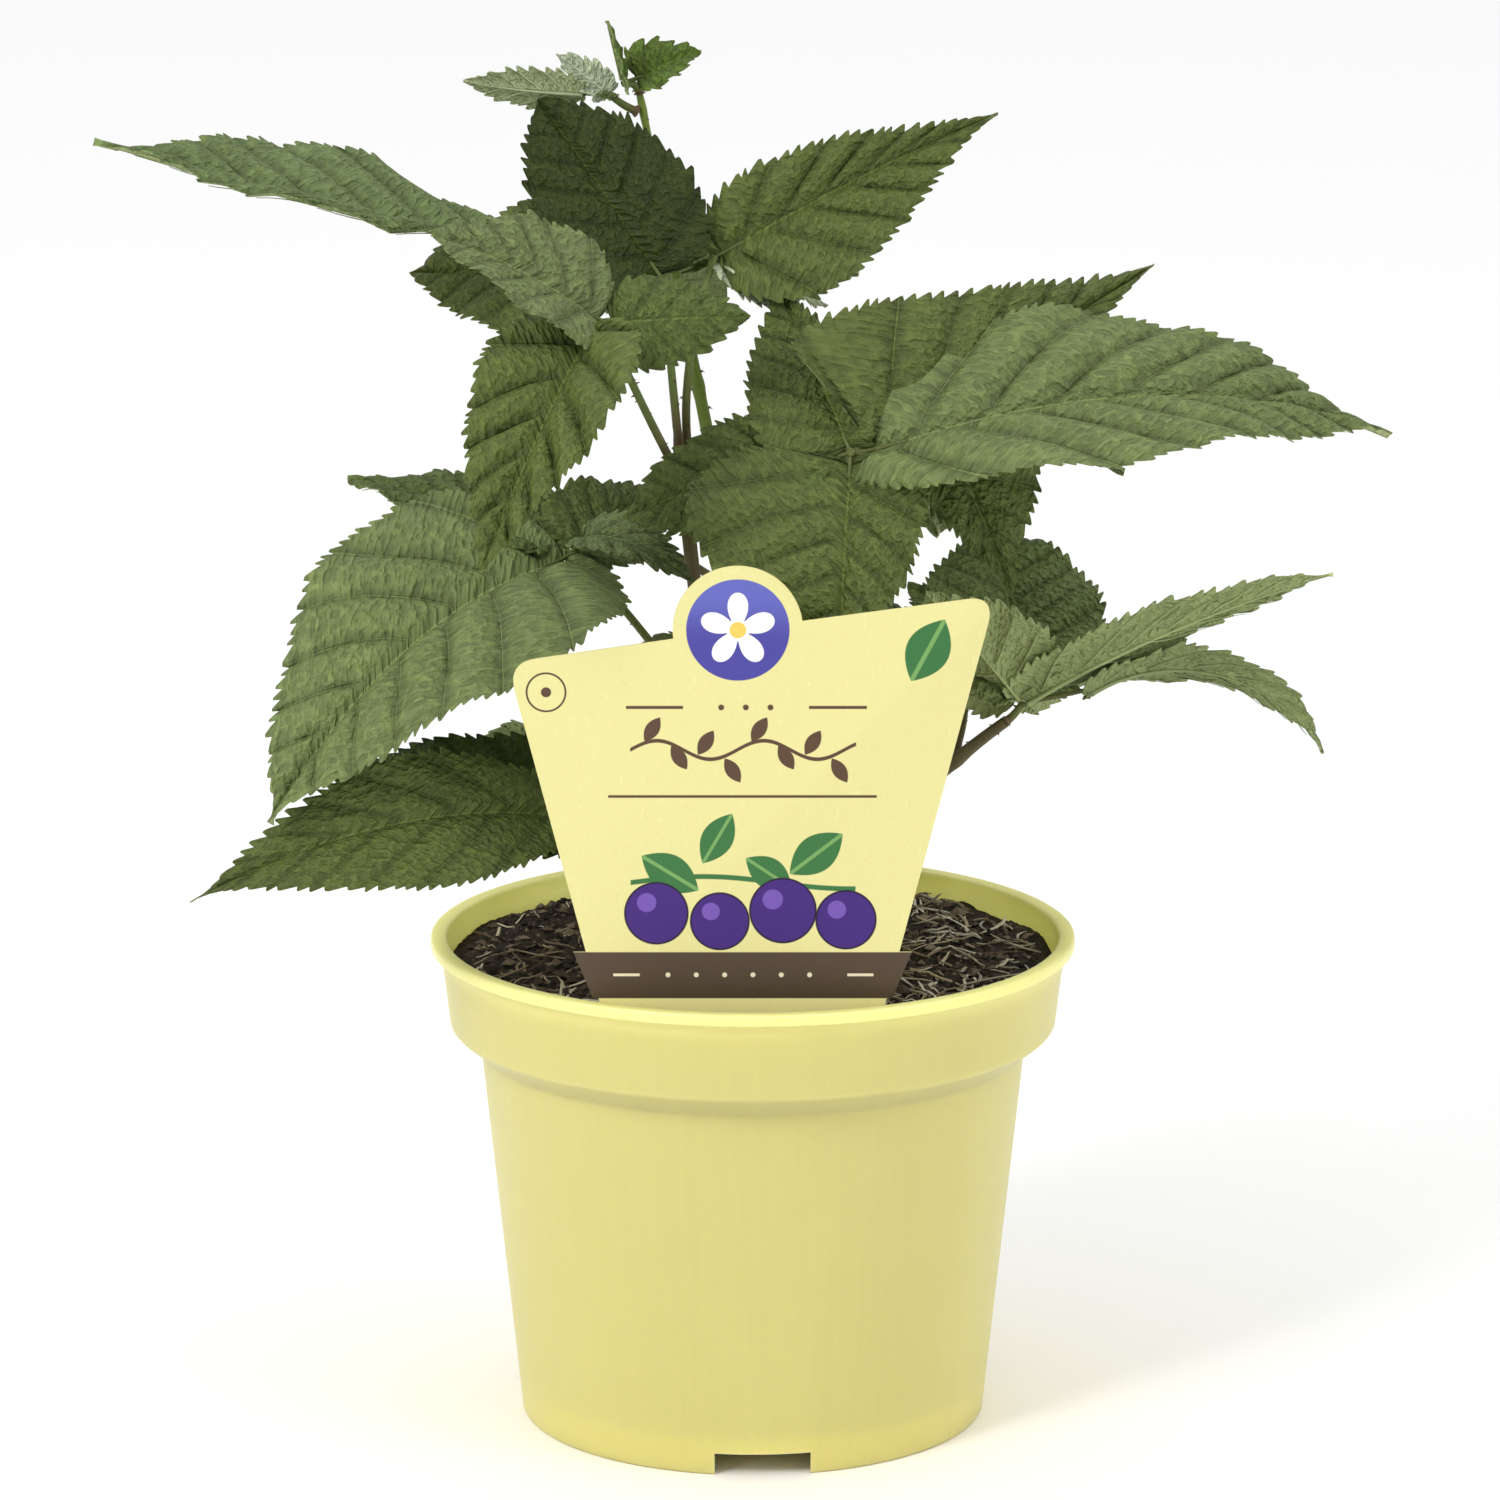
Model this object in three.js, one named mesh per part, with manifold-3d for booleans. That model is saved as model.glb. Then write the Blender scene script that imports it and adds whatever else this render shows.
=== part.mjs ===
// A young bramble in a round plastic pot, with a plain picture card standing in its soil.
// Millimetres, +Z up. The origin is on the pot's axis, at the level of the foot it stands on.
// Canes and leaves are worked out from angles and lengths; every compound leaf is one solid.

import * as THREE from 'three';
import { mergeVertices } from 'three/addons/utils/BufferGeometryUtils.js';
import Module from 'manifold-3d';

const wasm = await Module();
wasm.setup();

// Driving dimensions

const CLEAR = 0.3; // gap between pieces that touch

const POT = {
  height: 130,
  rimRadius: 85,
  lip: 3,
  collarHeight: 24,
  collarTopRadius: 82.4,
  collarFootRadius: 80,
  shoulder: 6,
  bodyTopRadius: 72,
  footRadius: 61.5,
  wall: 1.6,
  footWall: 2.4,
  floorUnderside: 8,
  floorThickness: 1.8,
  edge: 0.5,
  slotWidth: 25,
  slotHeight: 6,
  slotDepth: 12,
  slots: 3,
  slotTurn: 2.4,
  drainRadius: 4.5,
  drainRing: 38,
  drains: 4,
  drainSides: 12,
  sides: 56,
};

const SOIL = {
  level: 123.5,
  crown: 1.5,
  flatRadius: 26,
  fade: 20,
  rings: [62, 44, 26],
  lumps: 0.7,
  sides: 48,
};

// The card's front lies in one upright plane; these are x and z in that plane
const CARD = {
  thickness: 0.8,
  plane: -68,
  foot: 107,
  footLeft: -33.3,
  footRight: 28.1,
  cornerLeft: [-61.9, 217.5],
  cornerRight: [61, 234.8],
  cornerRadius: 7.5,
  tabX: -3.8,
  tabZ: 225.9,
  tabRadius: 16.4,
  bandTop: 142.3,
  bandFoot: 130.2,
  bandProud: [1.4, 3.2],
};

// Each cane stands on its foot at x, y, leans towards its heading (0 is +X, 90 is the back),
// and bends on by so many degrees over its length.
const CANES = {
  tall_cane: { x: 14.8, y: 10, heading: 158, lean: 12.1, bend: 0, length: 228, thick: 2.8, thin: 0.9 },
  short_cane: { x: -4.5, y: -6, heading: -165, lean: 6.3, bend: 0, length: 136, thick: 2.3, thin: 1.7 },
  middle_cane: { x: 9, y: -5, heading: -58, lean: 10, bend: 5, length: 104, thick: 2.2, thin: 1.6 },
  side_cane: { x: 14, y: 3, heading: 2, lean: 28, bend: 27, length: 80, thick: 2.1, thin: 1.5 },
  back_cane: { x: 4, y: 16, heading: 62, lean: 9, bend: 12, length: 122, thick: 2.2, thin: 1.5 },
};

// Each compound leaf leaves its cane at a share of the cane's length and ends in a hub of leaflets.
// A leaflet points from the hub by heading and rise. Its roll lowers its right side, its fold lifts
// both halves, its droop bends it down along its length, and its sway bends it to the right.
const LEAVES = {
  upper_left_leaf: {
    cane: 'short_cane', share: 0.97, climb: 55, hub: [-37.5, -38, 299],
    leaflets: [
      {
        heading: -116.9, rise: -42.4, stalk: 8.8, climb: -8, length: 76.9, width: 43.5,
        roll: -10, fold: 14, droop: 30, sway: 6, skew: -0.04, base: 0.62, tip: 1.08,
      },
      { heading: -165, rise: 28, stalk: 2, length: 49, width: 36, roll: -42, fold: 16 },
      { heading: 4, rise: 2, stalk: 2, length: 35, width: 25, roll: 64, fold: -14, droop: 14 },
    ],
  },
  high_leaf: {
    cane: 'short_cane', share: 1, hub: [-23, -3, 304],
    leaflets: [
      {
        heading: 146, rise: 48, stalk: 2, length: 57, width: 42,
        roll: -50, fold: 8, droop: 24, tip: 0.8,
      },
      {
        heading: -174, rise: 15, stalk: 42, length: 108.6, width: 44,
        roll: -10, fold: 12, droop: 2, sway: 28, skew: 0.33, base: 1.85, tip: 1.65,
      },
      { heading: 164, rise: -1, stalk: 18, length: 51, width: 43, roll: -46, fold: 8, droop: 20 },
    ],
  },
  high_right_leaf: {
    cane: 'short_cane', share: 0.98, climb: 92, hub: [-10, 5, 309],
    leaflets: [
      {
        heading: 17.4, rise: 23.8, stalk: 2, length: 83, width: 39,
        roll: 60, fold: 12, droop: -10, sway: 11, skew: 0.24, base: 0.75, tip: 1.4,
      },
      { heading: 36, rise: -24, stalk: 3, length: 37, width: 21, roll: 30, droop: 10 },
      { heading: 4, rise: -32, stalk: 2, length: 29, width: 13, roll: 40, droop: -16 },
    ],
  },
  right_leaf: {
    cane: 'middle_cane', share: 1, hub: [25, -30, 264],
    leaflets: [
      {
        heading: 118, rise: 44, stalk: 2, length: 50, width: 30.4,
        skew: -0.35, roll: -30, fold: 8, droop: 24,
      },
      {
        heading: 30.5, rise: 24, stalk: 5, length: 96, width: 55.5,
        roll: 59, fold: 8, droop: -4, skew: -0.2, base: 0.22, tip: 1.2,
      },
      {
        heading: 17.2, rise: -2.5, stalk: 5, length: 142.6, width: 61,
        roll: 29, droop: 58, sway: -7, base: 1.02, tip: 1.32,
      },
      {
        heading: 12, rise: -68, stalk: 29, climb: -8, length: 40, width: 36,
        roll: 82, fold: 8, droop: 16, skew: -0.25, base: 0.3, tip: 1.6,
      },
      { heading: -96, rise: -60, stalk: 3, length: 56, width: 61, fold: 8, skew: 0.33 },
      { heading: 176, rise: -17, stalk: 3, length: 58, width: 32, roll: -50, fold: 6 },
    ],
  },
  left_leaf: {
    cane: 'short_cane', share: 0.5, climb: 65, hub: [-47, -5, 233],
    leaflets: [
      {
        heading: -139, rise: -30.4, stalk: 3, length: 112, width: 73,
        roll: -24, fold: 9, droop: 59, sway: -8, base: 0.78, tip: 1.18,
      },
      { heading: 146, rise: 9, stalk: 6, length: 68, width: 35, roll: -8, fold: 12, droop: 14 },
      { heading: 65, rise: 9, stalk: 2, length: 46, width: 31, roll: 30, droop: 24 },
      {
        heading: -38, rise: -13, stalk: 6, climb: 55, length: 39, width: 15,
        roll: 30, fold: 14, droop: 66,
      },
    ],
  },
  low_left_leaf: {
    cane: 'short_cane', share: 0.1, hub: [-40, -32, 169.5],
    leaflets: [
      {
        heading: 173.5, rise: 5.5, stalk: 2, length: 67, width: 35,
        roll: -44, droop: 34, sway: 6, base: 0.45, tip: 0.8,
      },
      {
        heading: -159.5, rise: -7.1, stalk: 5, length: 106, width: 36,
        roll: -61, droop: 50, sway: -24, skew: -0.08, base: 1.65, tip: 1.65,
      },
    ],
  },
  low_right_leaf: {
    cane: 'side_cane', share: 1, hub: [71, 5, 191],
    leaflets: [
      {
        heading: -7.5, rise: 24.2, stalk: 1, length: 87.5, width: 20.5,
        roll: -47, fold: 14, droop: 10, sway: -11,
      },
      {
        heading: -12, rise: -14.8, stalk: 18, climb: 12, length: 63.5, width: 17,
        roll: -44, droop: 108, sway: 6, base: 1, tip: 0.75,
      },
      { heading: -150, rise: 47, stalk: 2, length: 42, width: 34, roll: 50, droop: 10 },
      { heading: 96, rise: 35, stalk: 4, length: 56, width: 49, droop: 10, tip: 0.6 },
      { heading: 138, rise: 33, stalk: 3, length: 45, width: 28, roll: -14, droop: 20 },
    ],
  },
  tip_leaf: {
    cane: 'tall_cane', share: 1, hub: [-33, 24, 352],
    leaflets: [
      { heading: -126, rise: 66, stalk: 1, length: 17.5, width: 14, roll: -57, droop: 0, skew: -0.48 },
      {
        heading: 13, rise: 21, stalk: 3, length: 18.5, width: 18,
        roll: 34, fold: 16, droop: 20, base: 0.4,
      },
    ],
  },
  young_leaf: {
    cane: 'tall_cane', share: 0.98, climb: 30, hub: [-37, 24, 348.6],
    leaflets: [
      {
        heading: -163.5, rise: 8, stalk: 8, length: 32, width: 12,
        roll: 60, fold: 8, droop: 0, sway: -9, base: 0.8,
      },
      { heading: 166, rise: 36, stalk: 1, length: 17, width: 11.5, roll: -32, fold: 8, droop: 10 },
      { heading: -100, rise: 4, stalk: 1, length: 9, width: 5, fold: 8, droop: 20 },
    ],
  },
  back_right_leaf: {
    cane: 'back_cane', share: 1, hub: [36, 44, 246],
    leaflets: [
      { heading: 16, rise: -4, stalk: 5, length: 62, width: 40, roll: -26, droop: 34 },
      { heading: 74, rise: -28, stalk: 6, length: 56, width: 42, roll: 8, droop: 40 },
      { heading: 132, rise: 2, stalk: 4, length: 54, width: 38, roll: 22 },
    ],
  },
  back_leaf: {
    cane: 'back_cane', share: 0.42, hub: [10, 54, 190],
    leaflets: [
      { heading: 96, rise: -42, stalk: 4, length: 52, width: 42, roll: -6, droop: 40 },
      { heading: 30, rise: -26, stalk: 4, length: 50, width: 38, roll: -24, droop: 34 },
      { heading: 158, rise: -10, stalk: 4, length: 54, width: 36, roll: 26, droop: 34 },
    ],
  },
  back_left_leaf: {
    cane: 'tall_cane', share: 0.42, hub: [-46, 46, 232],
    leaflets: [
      { heading: 178, rise: -4, stalk: 5, length: 50, width: 36, roll: 28 },
      { heading: 116, rise: -30, stalk: 5, length: 60, width: 44, roll: 10, droop: 42 },
      { heading: 58, rise: -6, stalk: 4, length: 54, width: 38, roll: -14 },
    ],
  },
  high_back_leaf: {
    cane: 'tall_cane', share: 0.66, hub: [-24, 48, 300],
    leaflets: [
      { heading: 88, rise: -36, stalk: 5, length: 56, width: 44, roll: -8, droop: 42 },
      { heading: 156, rise: 0, stalk: 4, length: 56, width: 40, roll: 24 },
      { heading: 24, rise: -6, stalk: 4, length: 54, width: 38, roll: -26 },
    ],
  },
  low_back_leaf: {
    cane: 'tall_cane', share: 0.14, hub: [-36, 46, 168],
    leaflets: [
      { heading: 172, rise: -8, stalk: 3, length: 50, width: 36, roll: 24, droop: 34 },
      { heading: 112, rise: -24, stalk: 4, length: 55, width: 42, roll: 8, droop: 40 },
    ],
  },
  side_back_leaf: {
    cane: 'side_cane', share: 0.8, climb: 40, hub: [54, 46, 196],
    leaflets: [
      { heading: 20, rise: -2, stalk: 4, length: 46, width: 36, roll: -26 },
      { heading: 84, rise: -28, stalk: 5, length: 50, width: 40, roll: 6, droop: 42 },
      { heading: 126, rise: 6, stalk: 4, length: 42, width: 32, roll: 20 },
    ],
  },
};

// What a leaflet has where its row says nothing else
const TYPICAL = { roll: 0, fold: 10, droop: 30, sway: 0, skew: 0, lobe: 0.05, base: 0.55, tip: 0.95 };
const CANE = { sides: 8, steps: 8, root: 4 }; // a root's length is cut off flat at the ground
const BLADE = { along: 6, across: 2, thickShare: 0.0115, leastThick: 0.9 };
const STALK = { thick: 1.25, hub: 1, thin: 0.85, tip: 0.7, sides: 5, steps: 5, climb: 40, bow: 0.45 };
const SUNK = 0.07; // how far along a blade its stalk is sunk in

// Colours and finishes

function finish(color, roughness) {
  return new THREE.MeshStandardMaterial({ color, roughness, metalness: 0, flatShading: true });
}

const POT_PLASTIC = finish(0xe6df94, 0.42);
const PEAT = finish(0x2a211c, 0.95);
const PRINTED_CARD = finish(0xf1eca9, 0.6);
const CANE_BARK = finish(0x75883c, 0.6);
const LEAF_GREEN = finish(0x4c6a30, 0.55);

// Solids

const radians = THREE.MathUtils.degToRad;
const part = new THREE.Group();

function toSolid(geometry) {
  const bare = geometry.clone();
  for (const name of Object.keys(bare.attributes)) if (name !== 'position') bare.deleteAttribute(name);
  const merged = mergeVertices(bare, 1e-4);
  return new wasm.Manifold(new wasm.Mesh({
    numProp: 3,
    vertProperties: Float32Array.from(merged.attributes.position.array),
    triVerts: Uint32Array.from(merged.index.array),
  }));
}

function toGeometry(solid) {
  const mesh = solid.getMesh();
  const geometry = new THREE.BufferGeometry();
  geometry.setAttribute('position', new THREE.BufferAttribute(Float32Array.from(mesh.vertProperties), 3));
  geometry.setIndex(new THREE.BufferAttribute(Uint32Array.from(mesh.triVerts), 1));
  return geometry;
}

function addPiece(name, geometry, material) {
  const mesh = new THREE.Mesh(geometry, material);
  mesh.name = name;
  part.add(mesh);
  return mesh;
}

// Moves every vertex of a geometry to the place that a function gives for it
function reshape(geometry, place) {
  const position = geometry.attributes.position;
  const point = new THREE.Vector3();
  for (let i = 0; i < position.count; i += 1) {
    point.fromBufferAttribute(position, i);
    point.copy(place(point.x, point.y, point.z));
    position.setXYZ(i, point.x, point.y, point.z);
  }
  return geometry;
}

// Directions and curves

function direction(heading, rise) {
  const level = Math.cos(radians(rise));
  return new THREE.Vector3(
    level * Math.cos(radians(heading)),
    level * Math.sin(radians(heading)),
    Math.sin(radians(rise)),
  );
}

// A frame that rides along a curve: ahead, right side and the face that looks up
function frameAlong(ahead) {
  const up = Math.abs(ahead.z) > 0.98 ? new THREE.Vector3(0, 1, 0) : new THREE.Vector3(0, 0, 1);
  const side = new THREE.Vector3().crossVectors(ahead, up).normalize();
  return { ahead: ahead.clone(), side, face: new THREE.Vector3().crossVectors(side, ahead) };
}

const turn = (vector, axis, degrees) => vector.applyAxisAngle(axis, radians(degrees));

// Points and frames of a midrib whose chord has the given direction and length
function midrib({ start, heading, rise, length, roll = 0, droop = 0, sway = 0 }) {
  const steps = 24;
  const chord = direction(heading, rise);
  const frame = frameAlong(chord);
  turn(frame.side, chord, roll);
  turn(frame.face, chord, roll);
  turn(frame.ahead, frame.side, droop / 2);
  turn(frame.face, frame.side, droop / 2);
  turn(frame.ahead, frame.face, sway / 2);
  turn(frame.side, frame.face, sway / 2);
  const points = [new THREE.Vector3()];
  const frames = [{ ahead: frame.ahead.clone(), side: frame.side.clone(), face: frame.face.clone() }];
  for (let i = 0; i < steps; i += 1) {
    points.push(points[i].clone().addScaledVector(frame.ahead, 1 / steps));
    turn(frame.ahead, frame.side, -droop / steps);
    turn(frame.face, frame.side, -droop / steps);
    turn(frame.ahead, frame.face, -sway / steps);
    turn(frame.side, frame.face, -sway / steps);
    frames.push({ ahead: frame.ahead.clone(), side: frame.side.clone(), face: frame.face.clone() });
  }
  const scale = length / points[steps].length();
  points.forEach((point) => point.multiplyScalar(scale).add(start));
  return (share) => {
    const place = THREE.MathUtils.clamp(share, 0, 1) * steps;
    const low = Math.min(Math.floor(place), steps - 1);
    const mix = place - low;
    const blend = (key) => frames[low][key].clone().lerp(frames[low + 1][key], mix).normalize();
    return {
      point: points[low].clone().lerp(points[low + 1], mix),
      ahead: blend('ahead'),
      side: blend('side'),
      face: blend('face'),
    };
  };
}

// A tapered round limb along a midrib-like curve
function limb(curve, thick, thin, sides, steps) {
  const tube = new THREE.CylinderGeometry(1, 1, 1, sides, steps);
  return reshape(tube, (x, y, z) => {
    const share = y + 0.5;
    const at = curve(share);
    const radius = thick + (thin - thick) * share;
    return at.point.addScaledVector(at.side, x * radius).addScaledVector(at.face, z * radius);
  });
}

// Turns a curve object into the same kind of function, for stalks
function alongCurve(curve) {
  return (share) => {
    const place = THREE.MathUtils.clamp(share, 0, 1);
    return { point: curve.getPointAt(place), ...frameAlong(curve.getTangentAt(place)) };
  };
}

// Leaf shape: how far along the midrib a margin point lies, and how far out, for t from base to tip
function margin(t, { base, tip, lobe }) {
  const spread = (share) => share ** base * (1 - share) ** tip;
  const along = t ** 1.25 - 2.2 * lobe * Math.sin(Math.PI * Math.sqrt(t)) * (1 - t) ** 3;
  return { along, out: spread(t) / spread(base / (base + tip)) };
}

function leafletPoint(curve, leaflet, t, v, lift) {
  const { along, out } = margin(t, leaflet);
  const rib = 0.97 * t ** 1.06;
  const share = rib + (along - rib) * Math.abs(v) ** 1.15;
  const at = curve(Math.max(share, 0));
  if (share < 0) at.point.addScaledVector(at.ahead, share * leaflet.length);
  const uneven = 1 + leaflet.skew * Math.sign(v);
  const half = Math.max((Math.abs(v) * out * uneven * leaflet.width) / 2, Math.abs(v) * 0.5);
  const lean = radians(leaflet.fold);
  return at.point
    .addScaledVector(at.side, Math.sign(v) * half * Math.cos(lean))
    .addScaledVector(at.face, half * Math.sin(lean) + lift);
}

function blade(curve, leaflet) {
  const thick = Math.max(BLADE.leastThick, leaflet.length * BLADE.thickShare);
  const sheet = new THREE.BoxGeometry(2, 1, 1, BLADE.across, BLADE.along, 1);
  return reshape(sheet, (x, y, z) => {
    const t = THREE.MathUtils.clamp(y + 0.5, 0.006, 0.994);
    return leafletPoint(curve, leaflet, t, x, (z - 0.5) * thick);
  });
}

// Pot

function turned(outline, sides) {
  const profile = outline.map(([radius, height]) => new THREE.Vector2(radius, height));
  const shape = new THREE.LatheGeometry(profile, sides);
  return shape.rotateX(Math.PI / 2);
}

function potSolid() {
  const p = POT;
  const collarFoot = p.height - p.collarHeight;
  const floor = p.floorUnderside + p.floorThickness;
  const bodyTop = collarFoot - p.shoulder;
  const bodyRadius = (z) => p.footRadius + ((p.bodyTopRadius - p.footRadius) * z) / bodyTop;
  const outline = [
    [0, p.floorUnderside],
    [bodyRadius(p.floorUnderside) - p.footWall, p.floorUnderside],
    [p.footRadius - p.footWall, 0],
    [p.footRadius, 0],
    [p.bodyTopRadius, bodyTop],
    [p.collarFootRadius - 2 * p.edge, collarFoot - p.edge],
    [p.collarFootRadius, collarFoot + p.edge],
    [p.collarTopRadius, p.height - p.lip - p.edge],
    [p.rimRadius - p.edge, p.height - p.lip],
    [p.rimRadius, p.height - p.lip + p.edge],
    [p.rimRadius, p.height - p.edge],
    [p.rimRadius - p.edge, p.height],
    [p.collarTopRadius - p.wall, p.height],
    [p.collarFootRadius - p.wall, collarFoot],
    [p.bodyTopRadius - p.wall, bodyTop - p.edge],
    [bodyRadius(floor) - p.wall, floor],
    [0, floor],
  ];
  let solid = toSolid(turned(outline, p.sides));
  for (let i = 0; i < p.slots; i += 1) {
    const angle = radians(p.slotTurn - 90 + (i * 360) / p.slots);
    const slot = new THREE.BoxGeometry(p.slotDepth, p.slotWidth, 2 * p.slotHeight);
    slot.translate(p.footRadius, 0, 0).rotateZ(angle);
    solid = solid.subtract(toSolid(slot));
  }
  for (let i = 0; i < p.drains; i += 1) {
    const angle = ((i + 0.5) * 2 * Math.PI) / p.drains;
    const depth = 4 * p.floorThickness;
    const hole = new THREE.CylinderGeometry(p.drainRadius, p.drainRadius, depth, p.drainSides);
    hole.rotateX(Math.PI / 2);
    hole.translate(p.drainRing * Math.cos(angle), p.drainRing * Math.sin(angle), floor);
    solid = solid.subtract(toSolid(hole));
  }
  return toGeometry(solid);
}

addPiece('pot', potSolid(), POT_PLASTIC);

// Peat that fills the pot, a little uneven on top but flat round the canes, with a slit for the card

function soilHeight(x, y) {
  const radius = Math.hypot(x, y);
  const fade = THREE.MathUtils.smoothstep(radius, SOIL.flatRadius, SOIL.flatRadius + SOIL.fade);
  const lumps = Math.sin(x * 0.13 + 1) * Math.cos(y * 0.11) + 0.6 * Math.sin(x * 0.07 - y * 0.15);
  const slope = SOIL.crown * (1 - radius / POT.rimRadius) * fade + SOIL.crown * (1 - fade);
  return SOIL.level + slope + SOIL.lumps * lumps * fade;
}

function sideAt(height, side) {
  const [x, z] = side < 0 ? CARD.cornerLeft : CARD.cornerRight;
  const foot = side < 0 ? CARD.footLeft : CARD.footRight;
  return foot + ((x - foot) * (height - CARD.foot)) / (z - CARD.foot);
}

// An outline drawn in x and z, given a thickness about the card's plane
function upright(shape, thickness) {
  const settings = { depth: thickness, bevelEnabled: false, curveSegments: 9 };
  const sheet = new THREE.ExtrudeGeometry(shape, settings);
  return sheet.rotateX(Math.PI / 2).translate(0, CARD.plane + thickness / 2, 0);
}

function slitSolid() {
  const top = SOIL.level + 2 * SOIL.crown + SOIL.fade;
  const low = CARD.foot - CLEAR;
  const room = 2 * CLEAR;
  const shape = new THREE.Shape();
  shape.moveTo(sideAt(low, -1) - room, low);
  shape.lineTo(sideAt(low, 1) + room, low);
  shape.lineTo(sideAt(top, 1) + room, top);
  shape.lineTo(sideAt(top, -1) - room, top);
  return toSolid(upright(shape, CARD.thickness + 2 * CLEAR));
}

function soilSolid() {
  const p = POT;
  const collarFoot = p.height - p.collarHeight;
  const bodyTop = collarFoot - p.shoulder;
  const floor = p.floorUnderside + p.floorThickness;
  const gap = p.wall + CLEAR;
  const slope = (p.bodyTopRadius - p.footRadius) / bodyTop;
  const collarSlope = (p.collarTopRadius - p.collarFootRadius) / p.collarHeight;
  const outline = [
    [0, floor + CLEAR],
    [p.footRadius + slope * floor - gap, floor + CLEAR],
    [p.bodyTopRadius - gap, bodyTop - CLEAR],
    [p.collarFootRadius - gap, collarFoot + CLEAR],
    [p.collarFootRadius + collarSlope * (SOIL.level - collarFoot) - gap, SOIL.level],
    ...SOIL.rings.map((radius) => [radius, SOIL.level]),
    [0, SOIL.level],
  ];
  const shape = reshape(turned(outline, SOIL.sides), (x, y, z) => {
    const raised = z > SOIL.level - 1 ? soilHeight(x, y) : z;
    return new THREE.Vector3(x, y, raised);
  });
  return toGeometry(toSolid(shape).subtract(slitSolid()));
}

addPiece('soil', soilSolid(), PEAT);

// Picture card: straight sloping sides, a round tab on its top edge, and a band that stands proud

function cardShape() {
  const c = CARD;
  const corners = { left: new THREE.Vector2(...c.cornerLeft), right: new THREE.Vector2(...c.cornerRight) };
  const topEdge = corners.right.clone().sub(corners.left).normalize();
  const tilt = Math.atan2(topEdge.y, topEdge.x);
  const [proudLow, proudHigh] = c.bandProud;
  const down = c.cornerRadius;
  const shape = new THREE.Shape();
  shape.moveTo(c.footLeft, c.foot);
  shape.lineTo(c.footRight, c.foot);
  shape.lineTo(sideAt(c.bandFoot, 1), c.bandFoot);
  shape.lineTo(sideAt(c.bandFoot, 1) + proudLow, c.bandFoot);
  shape.lineTo(sideAt(c.bandTop, 1) + proudHigh, c.bandTop);
  shape.lineTo(sideAt(c.bandTop, 1), c.bandTop);
  shape.lineTo(sideAt(corners.right.y - down, 1), corners.right.y - down);
  const rightEnd = corners.right.clone().addScaledVector(topEdge, -down);
  shape.quadraticCurveTo(corners.right.x, corners.right.y, rightEnd.x, rightEnd.y);
  shape.absarc(c.tabX, c.tabZ, c.tabRadius, tilt, Math.PI + tilt, false);
  const leftEnd = corners.left.clone().addScaledVector(topEdge, down);
  shape.lineTo(leftEnd.x, leftEnd.y);
  const below = corners.left.y - down;
  shape.quadraticCurveTo(corners.left.x, corners.left.y, sideAt(below, -1), below);
  shape.lineTo(sideAt(c.bandTop, -1), c.bandTop);
  shape.lineTo(sideAt(c.bandTop, -1) - proudHigh, c.bandTop);
  shape.lineTo(sideAt(c.bandFoot, -1) - proudLow, c.bandFoot);
  shape.lineTo(sideAt(c.bandFoot, -1), c.bandFoot);
  shape.closePath();
  return shape;
}

addPiece('picture_card', upright(cardShape(), CARD.thickness), PRINTED_CARD);

// Canes

const caneCurves = {};
const ground = SOIL.level + SOIL.crown + CLEAR;

function caneSolid(cane) {
  const root = CANE.root;
  const lean = cane.lean + cane.bend / 2;
  const start = new THREE.Vector3(cane.x, cane.y, ground);
  const { heading, length, bend } = cane;
  const curve = midrib({ start, heading, rise: 90 - lean, length, droop: bend });
  const deeper = (share) => {
    const at = curve(Math.max(share * (1 + root / cane.length) - root / cane.length, 0));
    if (share === 0) at.point.addScaledVector(at.ahead, -root);
    return at;
  };
  const wide = 10 * root;
  const below = new THREE.BoxGeometry(wide, wide, wide).translate(cane.x, cane.y, ground - wide / 2);
  const whole = toSolid(limb(deeper, cane.thick, cane.thin, CANE.sides, CANE.steps));
  return { curve, solid: whole.subtract(toSolid(below)) };
}

for (const [name, cane] of Object.entries(CANES)) {
  const { curve, solid } = caneSolid(cane);
  caneCurves[name] = curve;
  addPiece(name, toGeometry(solid), CANE_BARK);
}

function caneRadius(name, share) {
  const cane = CANES[name];
  return cane.thick + (cane.thin - cane.thick) * share;
}

// Leaf stalk from the cane's side, or on from its tip, to the hub
function stalkCurve(leaf) {
  const at = caneCurves[leaf.cane](leaf.share);
  const hub = new THREE.Vector3(...leaf.hub);
  if (leaf.share === 1) {
    const start = at.point.clone().addScaledVector(at.ahead, CLEAR);
    const middle = start.clone().addScaledVector(at.ahead, start.distanceTo(hub) * STALK.bow);
    return new THREE.QuadraticBezierCurve3(start, middle, hub);
  }
  const away = hub.clone().sub(at.point);
  away.addScaledVector(at.ahead, -away.dot(at.ahead)).normalize();
  const climb = radians(leaf.climb ?? STALK.climb);
  const offset = caneRadius(leaf.cane, leaf.share) + CLEAR + STALK.thick * Math.sin(climb);
  const start = at.point.clone().addScaledVector(away, offset);
  const first = away.clone().multiplyScalar(Math.cos(climb)).addScaledVector(at.ahead, Math.sin(climb));
  const middle = start.clone().addScaledVector(first, start.distanceTo(hub) * STALK.bow);
  return new THREE.QuadraticBezierCurve3(start, middle, hub);
}

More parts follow.
